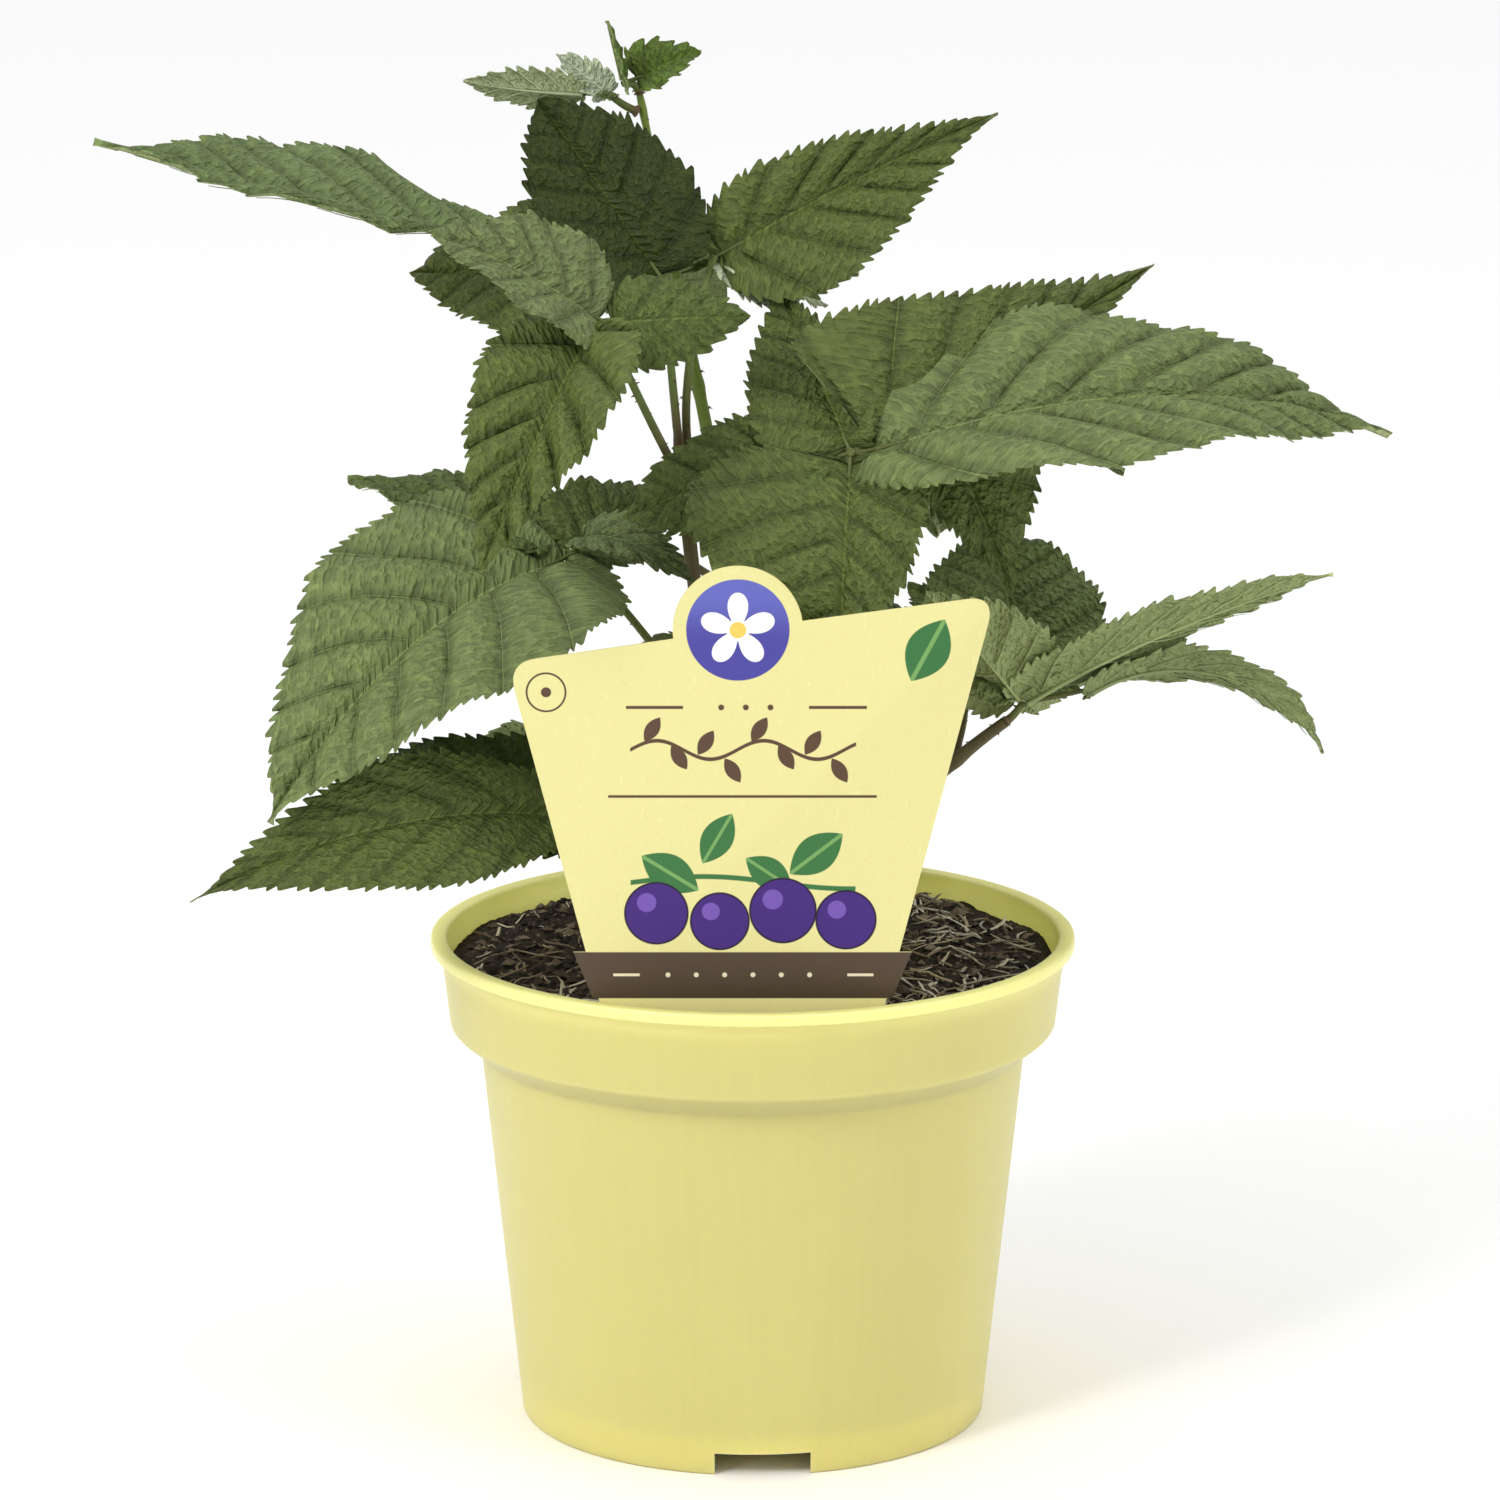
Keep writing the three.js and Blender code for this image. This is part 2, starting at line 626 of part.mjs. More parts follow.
// One compound leaf: its stalk, and for each leaflet a short stalk sunk into the blade
function compoundLeaf(leaf) {
  const stem = stalkCurve(leaf);
  const hub = new THREE.Vector3(...leaf.hub);
  const pieces = [limb(alongCurve(stem), STALK.thick, STALK.hub, STALK.sides, STALK.steps)];
  for (const row of leaf.leaflets) {
    const leaflet = { ...TYPICAL, ...row };
    const ahead = direction(leaflet.heading, leaflet.climb ?? leaflet.rise);
    const start = hub.clone().addScaledVector(ahead, leaflet.stalk);
    const curve = midrib({ ...leaflet, start });
    const sunk = curve(SUNK);
    const under = sunk.point.clone().addScaledVector(sunk.face, -0.4);
    const back = hub.clone().addScaledVector(ahead, -1.2);
    const line = new THREE.QuadraticBezierCurve3(back, start.clone(), under);
    pieces.push(limb(alongCurve(line), STALK.thin, STALK.tip, 4, 2));
    pieces.push(blade(curve, leaflet));
  }
  return toGeometry(pieces.map(toSolid).reduce((whole, piece) => whole.add(piece)));
}

for (const [name, leaf] of Object.entries(LEAVES)) addPiece(name, compoundLeaf(leaf), LEAF_GREEN);

export default part;
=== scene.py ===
import math

import bpy
import numpy as np
from bpy.props import FloatProperty, FloatVectorProperty, IntProperty, PointerProperty
from bpy.types import Operator, Panel, PropertyGroup
from mathutils import Matrix, Vector, noise


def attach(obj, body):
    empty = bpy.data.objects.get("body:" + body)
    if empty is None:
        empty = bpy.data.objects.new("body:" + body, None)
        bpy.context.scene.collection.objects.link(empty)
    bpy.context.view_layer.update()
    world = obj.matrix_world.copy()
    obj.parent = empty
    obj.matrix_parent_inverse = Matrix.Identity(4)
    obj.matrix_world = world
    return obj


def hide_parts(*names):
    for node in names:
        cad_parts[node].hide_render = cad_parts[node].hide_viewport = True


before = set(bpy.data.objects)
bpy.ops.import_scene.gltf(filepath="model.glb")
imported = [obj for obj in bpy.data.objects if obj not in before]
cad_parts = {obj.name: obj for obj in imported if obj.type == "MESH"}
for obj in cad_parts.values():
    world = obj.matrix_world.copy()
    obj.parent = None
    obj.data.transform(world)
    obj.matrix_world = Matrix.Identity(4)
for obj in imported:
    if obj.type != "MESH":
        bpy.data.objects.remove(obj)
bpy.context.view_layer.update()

bl_info = {
    "name": "Potted bramble",
    "version": (1, 0, 0),
    "blender": (4, 5, 0),
    "location": "3D View > Sidebar > Bramble",
    "description": "A young bramble in a round nursery pot, with a picture card in its soil",
    "category": "Object",
}

MM = 0.001

# Sizes in millimetres, on the pot's axis and from the level it stands on

POT = dict(
    height=130, rim_radius=85, lip=3, collar_height=24, collar_top=82.4, collar_foot=80, shoulder=6,
    body_top=72, foot_radius=61.5, wall=1.6, foot_wall=2.4, floor_under=8, floor_thick=1.8, edge=0.5,
    slot_width=25, slot_height=6, slot_depth=12, slot_rounding=1.2, slots=3, slot_turn=2.4,
    drain_radius=4.5, drain_ring=38, drains=4,
)
SOIL = dict(level=123.5, crown=1.5, flat_radius=26, fade=20)
CLEAR = 0.3
GROUND = SOIL["level"] + SOIL["crown"] + CLEAR
COLLAR_SLOPE = (POT["collar_top"] - POT["collar_foot"]) / POT["collar_height"]
CARD = dict(
    thick=0.8, plane=-68, foot=107, foot_left=-33.3, foot_right=28.1, corner_left=(-61.9, 217.5),
    corner_right=(61, 234.8), corner_radius=7.5, tab_x=-3.8, tab_z=225.9, tab_radius=16.4,
    band_top=142.3, band_foot=130.2, proud_low=1.4, proud_high=3.2,
)

# Canes and leaves


def cane(x, y, heading, lean, bend, length, thick, thin, tone):
    return dict(
        x=x, y=y, heading=heading, lean=lean, bend=bend, length=length, thick=thick, thin=thin, tone=tone)


# A cane stands on its foot, leans towards its heading and bends on over its length
CANES = {
    "tall_cane": cane(14.8, 10, 158, 12.1, 0, 228, 2.8, 0.9, "green_cane"),
    "short_cane": cane(-4.5, -6, -165, 6.3, 0, 136, 2.3, 1.7, "brown_cane"),
    "middle_cane": cane(9, -5, -58, 10, 5, 104, 2.2, 1.6, "green_cane"),
    "side_cane": cane(14, 3, 2, 28, 27, 80, 2.1, 1.5, "brown_cane"),
    "back_cane": cane(4, 16, 62, 9, 12, 122, 2.2, 1.5, "green_cane"),
}

# What a leaflet has where its row says nothing else. A leaflet points from its hub by heading and
# rise. Roll lowers its right side, fold lifts both halves, droop bends it down, sway to the right.
# Skew makes its right half the wider one, lobe draws its foot back past its stalk, and the higher
# base and tip are, the more slender are its two ends.
TYPICAL = dict(pleat=1, roll=0, fold=10, droop=30, sway=0, skew=0, lobe=0.05, base=0.55, tip=0.95)


def leaflet(heading, rise, stalk, length, width, tone, **more):
    return {**TYPICAL, "climb": rise, "heading": heading, "rise": rise, "stalk": stalk, "length": length,
            "width": width, "tone": tone, **more}


LEAVES = {
    "upper_left_leaf": dict(cane="short_cane", share=0.97, climb=55, hub=(-37.5, -38, 299), leaflets=[
        leaflet(-116.9, -42.4, 8.8, 76.9, 39.5, "striped", climb=-8, roll=-10, fold=14, droop=30, sway=6,
                skew=0.06, base=0.62, tip=1.08, pleat=1.8),
        leaflet(-165, 28, 2, 49, 36, "fresh", roll=-42, fold=16),
        leaflet(4, 2, 2, 35, 25, "mid", roll=64, fold=-14, droop=14),
    ]),
    "high_leaf": dict(cane="short_cane", share=1, hub=(-23, -3, 304), leaflets=[
        leaflet(146, 48, 2, 57, 42, "deep", roll=-50, fold=8, droop=24, tip=0.8),
        leaflet(-174, 15, 42, 108.6, 44, "grey", roll=-10, fold=12, droop=2, sway=28, skew=0.33,
                base=1.85, tip=1.65),
        leaflet(164, -1, 18, 51, 43, "mid", roll=-46, fold=8, droop=20),
    ]),
    "high_right_leaf": dict(cane="short_cane", share=0.98, climb=92, hub=(-10, 5, 309), leaflets=[
        leaflet(17.4, 23.8, 2, 83, 39, "mid", roll=60, fold=12, droop=-10, sway=11, skew=0.24,
                base=0.75, tip=1.4, pleat=1.3),
        leaflet(36, -24, 3, 37, 21, "silver", roll=30, droop=10),
        leaflet(4, -32, 2, 29, 13, "silver", roll=40, droop=-16),
    ]),
    "right_leaf": dict(cane="middle_cane", share=1, hub=(25, -30, 264), leaflets=[
        leaflet(118, 44, 2, 50, 30.4, "mid", skew=-0.35, roll=-30, fold=8, droop=24),
        leaflet(30.5, 24, 5, 96, 55.5, "mid", roll=59, fold=8, droop=-4, skew=-0.2, base=0.22, tip=1.2),
        leaflet(17.2, -2.5, 5, 142.6, 61, "fresh", roll=29, droop=58, sway=-7, base=1.02, tip=1.32),
        leaflet(12, -68, 29, 40, 36, "mid", climb=-8, roll=82, fold=8, droop=16, skew=-0.25,
                base=0.3, tip=1.6),
        leaflet(-96, -60, 3, 56, 61, "mid", fold=8, skew=0.33),
        leaflet(176, -17, 3, 58, 32, "mid", roll=-50, fold=6, base=1.05, lobe=0),
    ]),
    "left_leaf": dict(cane="short_cane", share=0.5, climb=65, hub=(-47, -5, 233), leaflets=[
        leaflet(-139, -30.4, 3, 112, 73, "fresh", roll=-24, fold=9, droop=59, sway=-8, base=0.78, tip=1.18),
        leaflet(146, 9, 6, 68, 35, "mid", roll=-8, fold=12, droop=14),
        leaflet(65, 9, 2, 46, 31, "mid", roll=30, droop=24),
        leaflet(-38, -13, 6, 39, 15, "grey", climb=55, roll=30, fold=14, droop=66),
    ]),
    "low_left_leaf": dict(cane="short_cane", share=0.1, hub=(-40, -32, 169.5), leaflets=[
        leaflet(173.5, 5.5, 2, 67, 35, "dark", roll=-44, droop=34, sway=6, base=0.45, tip=0.8, pleat=0.6),
        leaflet(-159.5, -7.1, 5, 106, 36, "mid", roll=-61, droop=50, sway=-24, skew=-0.08,
                base=1.65, tip=1.65, pleat=0.4),
    ]),
    "low_right_leaf": dict(cane="side_cane", share=1, hub=(71, 5, 191), leaflets=[
        # The pale tone of these leaflets is partly painted light
        leaflet(-7.5, 24.2, 1, 87.5, 20.5, "pale", roll=-47, fold=14, droop=10, sway=-11),
        leaflet(-12, -14.8, 18, 63.5, 17, "grey", climb=12, roll=-44, droop=108, sway=6, base=1, tip=0.75),
        leaflet(-150, 47, 2, 42, 34, "pale", roll=50, droop=10),
        leaflet(96, 35, 4, 56, 49, "fresh", droop=10, tip=0.6),
        leaflet(138, 33, 3, 45, 28, "fresh", roll=-14, droop=20),
    ]),
    "tip_leaf": dict(cane="tall_cane", share=1, hub=(-33, 24, 352), leaflets=[
        leaflet(-126, 66, 1, 17.5, 14, "bright", roll=-57, droop=0, skew=-0.48),
        leaflet(13, 21, 3, 18.5, 18, "bright", roll=34, fold=16, droop=20, base=0.4),
    ]),
    "young_leaf": dict(cane="tall_cane", share=0.98, climb=30, hub=(-37, 24, 348.6), leaflets=[
        leaflet(-163.5, 8, 8, 32, 12, "silver", roll=60, fold=8, droop=0, sway=-9, base=0.8),
        leaflet(166, 36, 1, 17, 11.5, "silver", roll=-32, fold=8, droop=10),
        leaflet(-100, 4, 1, 9, 5, "bright", fold=8, droop=20),
    ]),
    "back_right_leaf": dict(cane="back_cane", share=1, hub=(36, 44, 246), leaflets=[
        leaflet(16, -4, 5, 62, 40, "mid", roll=-26, droop=34),
        leaflet(74, -28, 6, 56, 42, "fresh", roll=8, droop=40),
        leaflet(132, 2, 4, 54, 38, "dark", roll=22),
    ]),
    "back_leaf": dict(cane="back_cane", share=0.42, hub=(10, 54, 190), leaflets=[
        leaflet(96, -42, 4, 52, 42, "fresh", roll=-6, droop=40),
        leaflet(30, -26, 4, 50, 38, "mid", roll=-24, droop=34),
        leaflet(158, -10, 4, 54, 36, "dark", roll=26, droop=34),
    ]),
    "back_left_leaf": dict(cane="tall_cane", share=0.42, hub=(-46, 46, 232), leaflets=[
        leaflet(178, -4, 5, 50, 36, "dark", roll=28),
        leaflet(116, -30, 5, 60, 44, "mid", roll=10, droop=42),
        leaflet(58, -6, 4, 54, 38, "fresh", roll=-14),
    ]),
    "high_back_leaf": dict(cane="tall_cane", share=0.66, hub=(-24, 48, 300), leaflets=[
        leaflet(88, -36, 5, 56, 44, "mid", roll=-8, droop=42),
        leaflet(156, 0, 4, 56, 40, "fresh", roll=24),
        leaflet(24, -6, 4, 54, 38, "mid", roll=-26),
    ]),
    "low_back_leaf": dict(cane="tall_cane", share=0.14, hub=(-36, 46, 168), leaflets=[
        leaflet(172, -8, 3, 50, 36, "mid", roll=24, droop=34),
        leaflet(112, -24, 4, 55, 42, "dark", roll=8, droop=40),
    ]),
    "side_back_leaf": dict(cane="side_cane", share=0.8, climb=40, hub=(54, 46, 196), leaflets=[
        leaflet(20, -2, 4, 46, 36, "fresh", roll=-26),
        leaflet(84, -28, 5, 50, 40, "mid", roll=6, droop=42),
        leaflet(126, 6, 4, 42, 32, "dark", roll=20),
    ]),
}

# Colours of 0 to 255, first those of the leaflets' upper sides, the canes and the stalks
TONES = {
    "deep": (48, 58, 17),
    "dark": (56, 70, 24),
    "mid": (84, 98, 47),
    "striped": (85, 99, 47),
    "fresh": (107, 119, 72),
    "grey": (98, 112, 68),
    # pale is partly painted light: the low right leaflets' own paler green, made paler still for the light
    # they catch
    "pale": (166, 177, 118),
    "silver": (178, 186, 158),
    "bright": (88, 110, 38),
    "green_cane": (112, 132, 52),
    "brown_cane": (92, 84, 52),
    "petiole": (104, 116, 58),
    "ruddy": (104, 82, 56),
}
UNDERSIDE = (160, 174, 118)
PEAT_TONES = ((68, 58, 50), (92, 80, 67), (44, 39, 34), (124, 110, 92))
STRAW_TONES = ((214, 204, 176), (184, 170, 138), (150, 134, 106), (230, 222, 200), (106, 90, 70))


def linear(colour):
    """A colour of 0 to 255 as the light it stands for."""
    shares = [value / 255 for value in colour]
    return tuple(v / 12.92 if v <= 0.04045 else ((v + 0.055) / 1.055) ** 2.4 for v in shares)


# Directions, curves and the arrays of points along them


def direction(heading, rise):
    """Where a heading from +X towards +Y and a rise over the ground point to, in degrees."""
    a, b = math.radians(heading), math.radians(rise)
    return Vector((math.cos(b) * math.cos(a), math.cos(b) * math.sin(a), math.sin(b)))


def frame_along(ahead):
    """Ahead, side and face of a limb that doesn't roll."""
    upright = abs(ahead.z) > 0.98
    up = Vector((0, 1, 0)) if upright else Vector((0, 0, 1))
    side = ahead.cross(up).normalized()
    return [ahead.copy(), side, side.cross(ahead)]


def turn(vectors, axis, degrees):
    """The vectors turned round an axis."""
    spin = Matrix.Rotation(math.radians(degrees), 3, axis)
    return [spin @ vector for vector in vectors]


def smooth_step(value, low, high):
    """0 up to low and 1 from high on, with a soft change between them."""
    share = np.clip((value - low) / (high - low), 0, 1)
    return share * share * (3 - 2 * share)


class Way:
    """A smooth line through evenly spaced points, each with its ahead, side and face directions."""

    def __init__(self, points, frames):
        self.rows = np.array([[p, *f] for p, f in zip(points, frames)], float)

    def at(self, share):
        """Point, ahead, side and face at each share of the length, as four arrays of vectors."""
        place = np.clip(np.asarray(share, float), 0, 1) * (len(self.rows) - 1)
        low = np.minimum(place.astype(int), len(self.rows) - 2)
        u = (place - low)[..., None, None]
        last = len(self.rows) - 1
        a, b = self.rows[np.maximum(low - 1, 0)], self.rows[low]
        c, d = self.rows[low + 1], self.rows[np.minimum(low + 2, last)]
        found = b + 0.5 * u * (c - a + u * (2 * a - 5 * b + 4 * c - d + u * (3 * (b - c) + d - a)))
        found = np.moveaxis(found, -2, 0)
        found[1:] /= np.linalg.norm(found[1:], axis=-1, keepdims=True)
        return found


def midrib(start, heading, rise, length, roll=0, droop=0, sway=0, steps=24):
    """A line that bends evenly down by droop and to the right by sway, with a straight chord to its end."""
    chord = direction(heading, rise)
    ahead, side, face = frame_along(chord)
    side, face = turn([side, face], chord, roll)
    ahead, face = turn([ahead, face], side, droop / 2)
    ahead, side = turn([ahead, side], face, sway / 2)
    points, frames = [Vector((0, 0, 0))], [[ahead, side, face]]
    for _ in range(steps):
        points.append(points[-1] + ahead / steps)
        ahead, face = turn([ahead, face], side, -droop / steps)
        ahead, side = turn([ahead, side], face, -sway / steps)
        frames.append([ahead, side, face])
    scale = length / points[-1].length
    return Way([start + point * scale for point in points], frames)


def bow(start, middle, end, steps=12):
    """A simple curve from start to end that heads for middle first."""
    points, frames = [], []
    for i in range(steps + 1):
        u = i / steps
        points.append(start * (1 - u) ** 2 + middle * (2 * u * (1 - u)) + end * u * u)
        frames.append(frame_along(((middle - start) * (1 - u) + (end - middle) * u).normalized()))
    for i in range(1, steps + 1):
        if frames[i][1].dot(frames[i - 1][1]) < 0:
            frames[i] = [frames[i][0], -frames[i][1], -frames[i][2]]
    return Way(points, frames)


def cane_way(name):
    c = CANES[name]
    rise = 90 - c["lean"] - c["bend"] / 2
    return midrib(Vector((c["x"], c["y"], GROUND)), c["heading"], rise, c["length"], droop=c["bend"])


def cane_radius(name, share):
    c = CANES[name]
    return c["thick"] + (c["thin"] - c["thick"]) * share


STALK = dict(thick=1.25, climb=40, bow=0.45)


def stalk_way(leaf):
    """A compound leaf's stalk, from the side of its cane, or on from its tip, to its hub."""
    point, ahead = (Vector(v) for v in cane_way(leaf["cane"]).at(leaf["share"])[:2])
    hub = Vector(leaf["hub"])
    if leaf["share"] == 1:
        start = point + ahead * CLEAR
        return bow(start, start + ahead * (hub - start).length * STALK["bow"], hub)
    away = hub - point
    away = (away - ahead * away.dot(ahead)).normalized()
    climb = math.radians(leaf.get("climb", STALK["climb"]))
    off = cane_radius(leaf["cane"], leaf["share"]) + CLEAR + STALK["thick"] * math.sin(climb)
    start = point + away * off
    first = away * math.cos(climb) + ahead * math.sin(climb)
    return bow(start, start + first * (hub - start).length * STALK["bow"], hub)


class Heap:
    """Gathers many small shapes into one mesh, with the colours and maps that they carry.

    shape is how many times longer than wide the shapes are, which lays out the tiles of their textures.
    """

    def __init__(self, *maps, shape=12.0):
        self.points, self.corners, self.sizes, self.tints, self.unders = [], [], [], [], []
        self.maps = {name: [] for name in maps}
        self.count, self.tiles, self.shape = 0, 0, shape

    def tile(self):
        """The number of the next free tile of the map that textures are baked through."""
        self.tiles += 1
        return self.tiles - 1

    def laid_out(self, tiled):
        """Rows of tile number, u and v, as places on the whole map."""
        across = max(1, round(math.sqrt(self.tiles / self.shape)))
        down = math.ceil(self.tiles / across)
        tile, u, v = tiled.T
        return np.stack([(tile % across + u) / across, (tile // across + v) / down], axis=1)

    def add(self, points, faces, tint, under=0.0, maps=None):
        """faces holds arrays with one row a face. A map has a row for each corner of the faces."""
        points = np.asarray(points, float).reshape(-1, 3)
        for rows in faces:
            rows = np.asarray(rows, np.int64)
            self.corners.append((rows + self.count).ravel())
            self.sizes.append(np.full(len(rows), rows.shape[1]))
        self.points.append(points)
        self.tints.append(np.broadcast_to(np.asarray(tint, float), (len(points), 3)))
        self.unders.append(np.broadcast_to(np.asarray(under, float), len(points)))
        for name, pairs in (maps or {}).items():
            self.maps[name].append(pairs)
        self.count += len(points)

    def piece(self, name, material, sharp=50):
        mesh = bpy.data.meshes.new(name)
        points = np.concatenate(self.points) * MM
        corners, sizes = np.concatenate(self.corners), np.concatenate(self.sizes)
        mesh.vertices.add(len(points))
        mesh.vertices.foreach_set("co", points.astype(np.float32).ravel())
        mesh.loops.add(len(corners))
        mesh.loops.foreach_set("vertex_index", corners.astype(np.int32))
        mesh.polygons.add(len(sizes))
        mesh.polygons.foreach_set("loop_start", (np.cumsum(sizes) - sizes).astype(np.int32))
        mesh.update(calc_edges=True)
        tints = np.concatenate(self.tints)
        tints = np.concatenate([tints, np.ones((len(tints), 1))], axis=1)
        tint = mesh.attributes.new("Tint", "FLOAT_COLOR", "POINT")
        tint.data.foreach_set("color", tints.astype(np.float32).ravel())
        under = mesh.attributes.new("Under", "FLOAT", "POINT")
        under.data.foreach_set("value", np.concatenate(self.unders).astype(np.float32))
        for key, pairs in self.maps.items():
            layer = mesh.uv_layers.new(name=key)
            pairs = np.concatenate(pairs)
            pairs = self.laid_out(pairs) if pairs.shape[1] == 3 else pairs
            layer.data.foreach_set("uv", pairs.astype(np.float32).ravel())
        obj = bpy.data.objects.new(name, mesh)
        bpy.context.scene.collection.objects.link(obj)
        finish_piece(obj, material, sharp)
        return obj


def ring_faces(rows, sides):
    """Faces over rows of rings, and fans that close both ends on the two points after the rings."""
    i, j = np.meshgrid(np.arange(rows - 1), np.arange(sides), indexing="ij")
    a, b = i * sides + j, i * sides + (j + 1) % sides
    quads = np.stack([a, a + sides, b + sides, b], axis=-1).reshape(-1, 4)
    k, last = np.arange(sides), (rows - 1) * sides
    first_fan = np.stack([np.full(sides, rows * sides), k, (k + 1) % sides], axis=-1)
    last_fan = np.stack([np.full(sides, rows * sides + 1), last + (k + 1) % sides, last + k], axis=-1)
    return [quads, first_fan, last_fan]


def on_tile(number, pairs):
    """Rows of u and v with the number of their tile before them."""
    return np.hstack([np.full((len(pairs), 1), number), pairs])


def pick(obj):
    """Deselects everything else and makes this object the one that operators act on."""
    if bpy.context.object and bpy.context.object.mode != "OBJECT":
        bpy.ops.object.mode_set(mode="OBJECT")
    bpy.ops.object.select_all(action="DESELECT")
    obj.select_set(True)
    bpy.context.view_layer.objects.active = obj


def finish_piece(obj, material, sharp):
    """Gives a piece its material, and smooth shading up to a sharp angle in degrees."""
    pick(obj)
    bpy.ops.object.shade_smooth_by_angle(angle=math.radians(sharp))
    obj.data.materials.clear()
    obj.data.materials.append(material)
    if obj.data.validate():
        raise RuntimeError(f"{obj.name} has faces that don't hold together")


def place_piece(obj, slot, *nodes):
    """Puts a finished piece on the plant's one body, in place of the solids it stands for."""
    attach(obj, "root")
    if nodes:
        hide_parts(*nodes)


# Finishes


class Value:
    """A number, colour or direction on its way through a finish's nodes."""

    def __init__(self, finish, socket):
        self.finish, self.socket = finish, socket

    def maths(self, operation, *others):
        """One step of arithmetic, with this value first."""
        return self.finish.node("ShaderNodeMath", {"operation": operation}, (self, *others))

    def __add__(self, other):
        return self.maths("ADD", other)

    def __sub__(self, other):
        return self.maths("SUBTRACT", other)

    def __rsub__(self, other):
        return (self * -1) + other

    def __mul__(self, other):
        return self.maths("MULTIPLY", other)

    __radd__, __rmul__ = __add__, __mul__

    def __pow__(self, other):
        return self.maths("POWER", other)

    def __abs__(self):
        return self.maths("ABSOLUTE")

    def __or__(self, other):
        return self.maths("MAXIMUM", other)

    def fraction(self):
        return self.maths("FRACT")

    def step(self, low, high):
        """0 up to low and 1 from high on, with a soft change between them."""
        values = {"Value": self, "From Min": low, "From Max": high}
        return self.finish.node("ShaderNodeMapRange", {"interpolation_type": "SMOOTHSTEP"}, values)

    def under(self, limit, soft=0.12):
        """1 where the value lies under a limit, 0 over it."""
        return 1 - self.step(limit - soft, limit + soft)

    def output(self, name):
        return Value(self.finish, self.socket.node.outputs[name])


class Finish:
    """A material made of nodes. What stays the same over its surface is set when it is made."""

    def __init__(self, name, **constants):
        self.material = bpy.data.materials.new(name)
        self.material.use_nodes = True
        self.tree = self.material.node_tree
        self.shader = self.tree.nodes["Principled BSDF"]
        for key, value in constants.items():
            self.shader.inputs[key.replace("_", " ")].default_value = value

    def node(self, kind, settings=None, values=(), output=0):
        """Adds a node with its settings and the values or links of its sockets, by number or name."""
        node = self.tree.nodes.new(kind)
        for key, value in (settings or {}).items():
            setattr(node, key, value)
        for key, value in values.items() if isinstance(values, dict) else enumerate(values):
            if isinstance(value, Value):
                self.tree.links.new(value.socket, node.inputs[key])
            else:
                node.inputs[key].default_value = value
        return Value(self, node.outputs[output])

    def attribute(self, name, output="Color"):
        return self.node("ShaderNodeAttribute", {"attribute_name": name}, output=output)

    def xyz(self, vector):
        """The three numbers of a vector."""
        parts = self.node("ShaderNodeSeparateXYZ", values=(vector,))
        return parts, parts.output("Y"), parts.output("Z")

    def scaled(self, vector, x, y, z=1.0):
        return self.node("ShaderNodeVectorMath", {"operation": "MULTIPLY"}, (vector, (x, y, z)))

    def grain(self, vector, size, detail=2.0, roughness=0.5):
        """Cloudy noise from 0 to 1 with clouds of a size, in the units of its vector."""
        values = {"Vector": vector, "Scale": 1 / size, "Detail": detail, "Roughness": roughness}
        return self.node("ShaderNodeTexNoise", values=values)

    def blend(self, share, first, second):
        """Goes from one colour's light to another's by a share."""
        return self.node("ShaderNodeMix", {"data_type": "RGBA"}, {0: share, 6: first, 7: second}, output=2)

    def mix(self, share, first, second):
        """Blends colours of 0 to 255, or values."""
        return self.blend(share, *[c if isinstance(c, Value) else (*linear(c), 1) for c in (first, second)])

    def shaded(self, colour, factor):
        """A colour times a number."""
        settings = {"data_type": "RGBA", "blend_type": "MULTIPLY"}
        return self.node("ShaderNodeMix", settings, {0: 1.0, 6: colour, 7: factor}, output=2)

    def relief(self, height, depth, strength=1.0):
        """A bump normal from a height of 0 to 1 and its depth in millimetres."""
        values = {"Height": height, "Distance": depth * MM, "Strength": strength}
        return self.node("ShaderNodeBump", values=values)

    def place(self):
        """Where a point of the surface is, in millimetres."""
        return self.scaled(self.node("ShaderNodeTexCoord", output="Object"), *[1 / MM] * 3)

    def done(self, **results):
        for key, value in results.items():
            self.tree.links.new(value.socket, self.shader.inputs[key.replace("_", " ")])
        return self.material


# Where a side vein and the painted shade in the valley round it start and are full, from 0 between two veins
# to 0.5 on one, and where the midrib is full and ends, in millimetres
SIDE_VEIN, VALLEY_SHADE, MIDRIB = (0.478, 0.495), (0.3, 0.49), (0.12, 0.42)
# Wrinkles from one side vein to the next, and in a length of WRINKLE along them
RUNGS, PUCKERS = (3.0, 5.2), (5.6, 3.6)
# Sizes of the clouds and spots, and how much lighter than the blade its veins and spots are
CLOUD, SPOT = 14, 3.2
VEIN_LIGHT, SPOT_LIGHT = (2.6, 2.5, 2.6, 1), (1.4, 1.3, 0.8, 1)
UNDER_VEIN = (196, 204, 150)


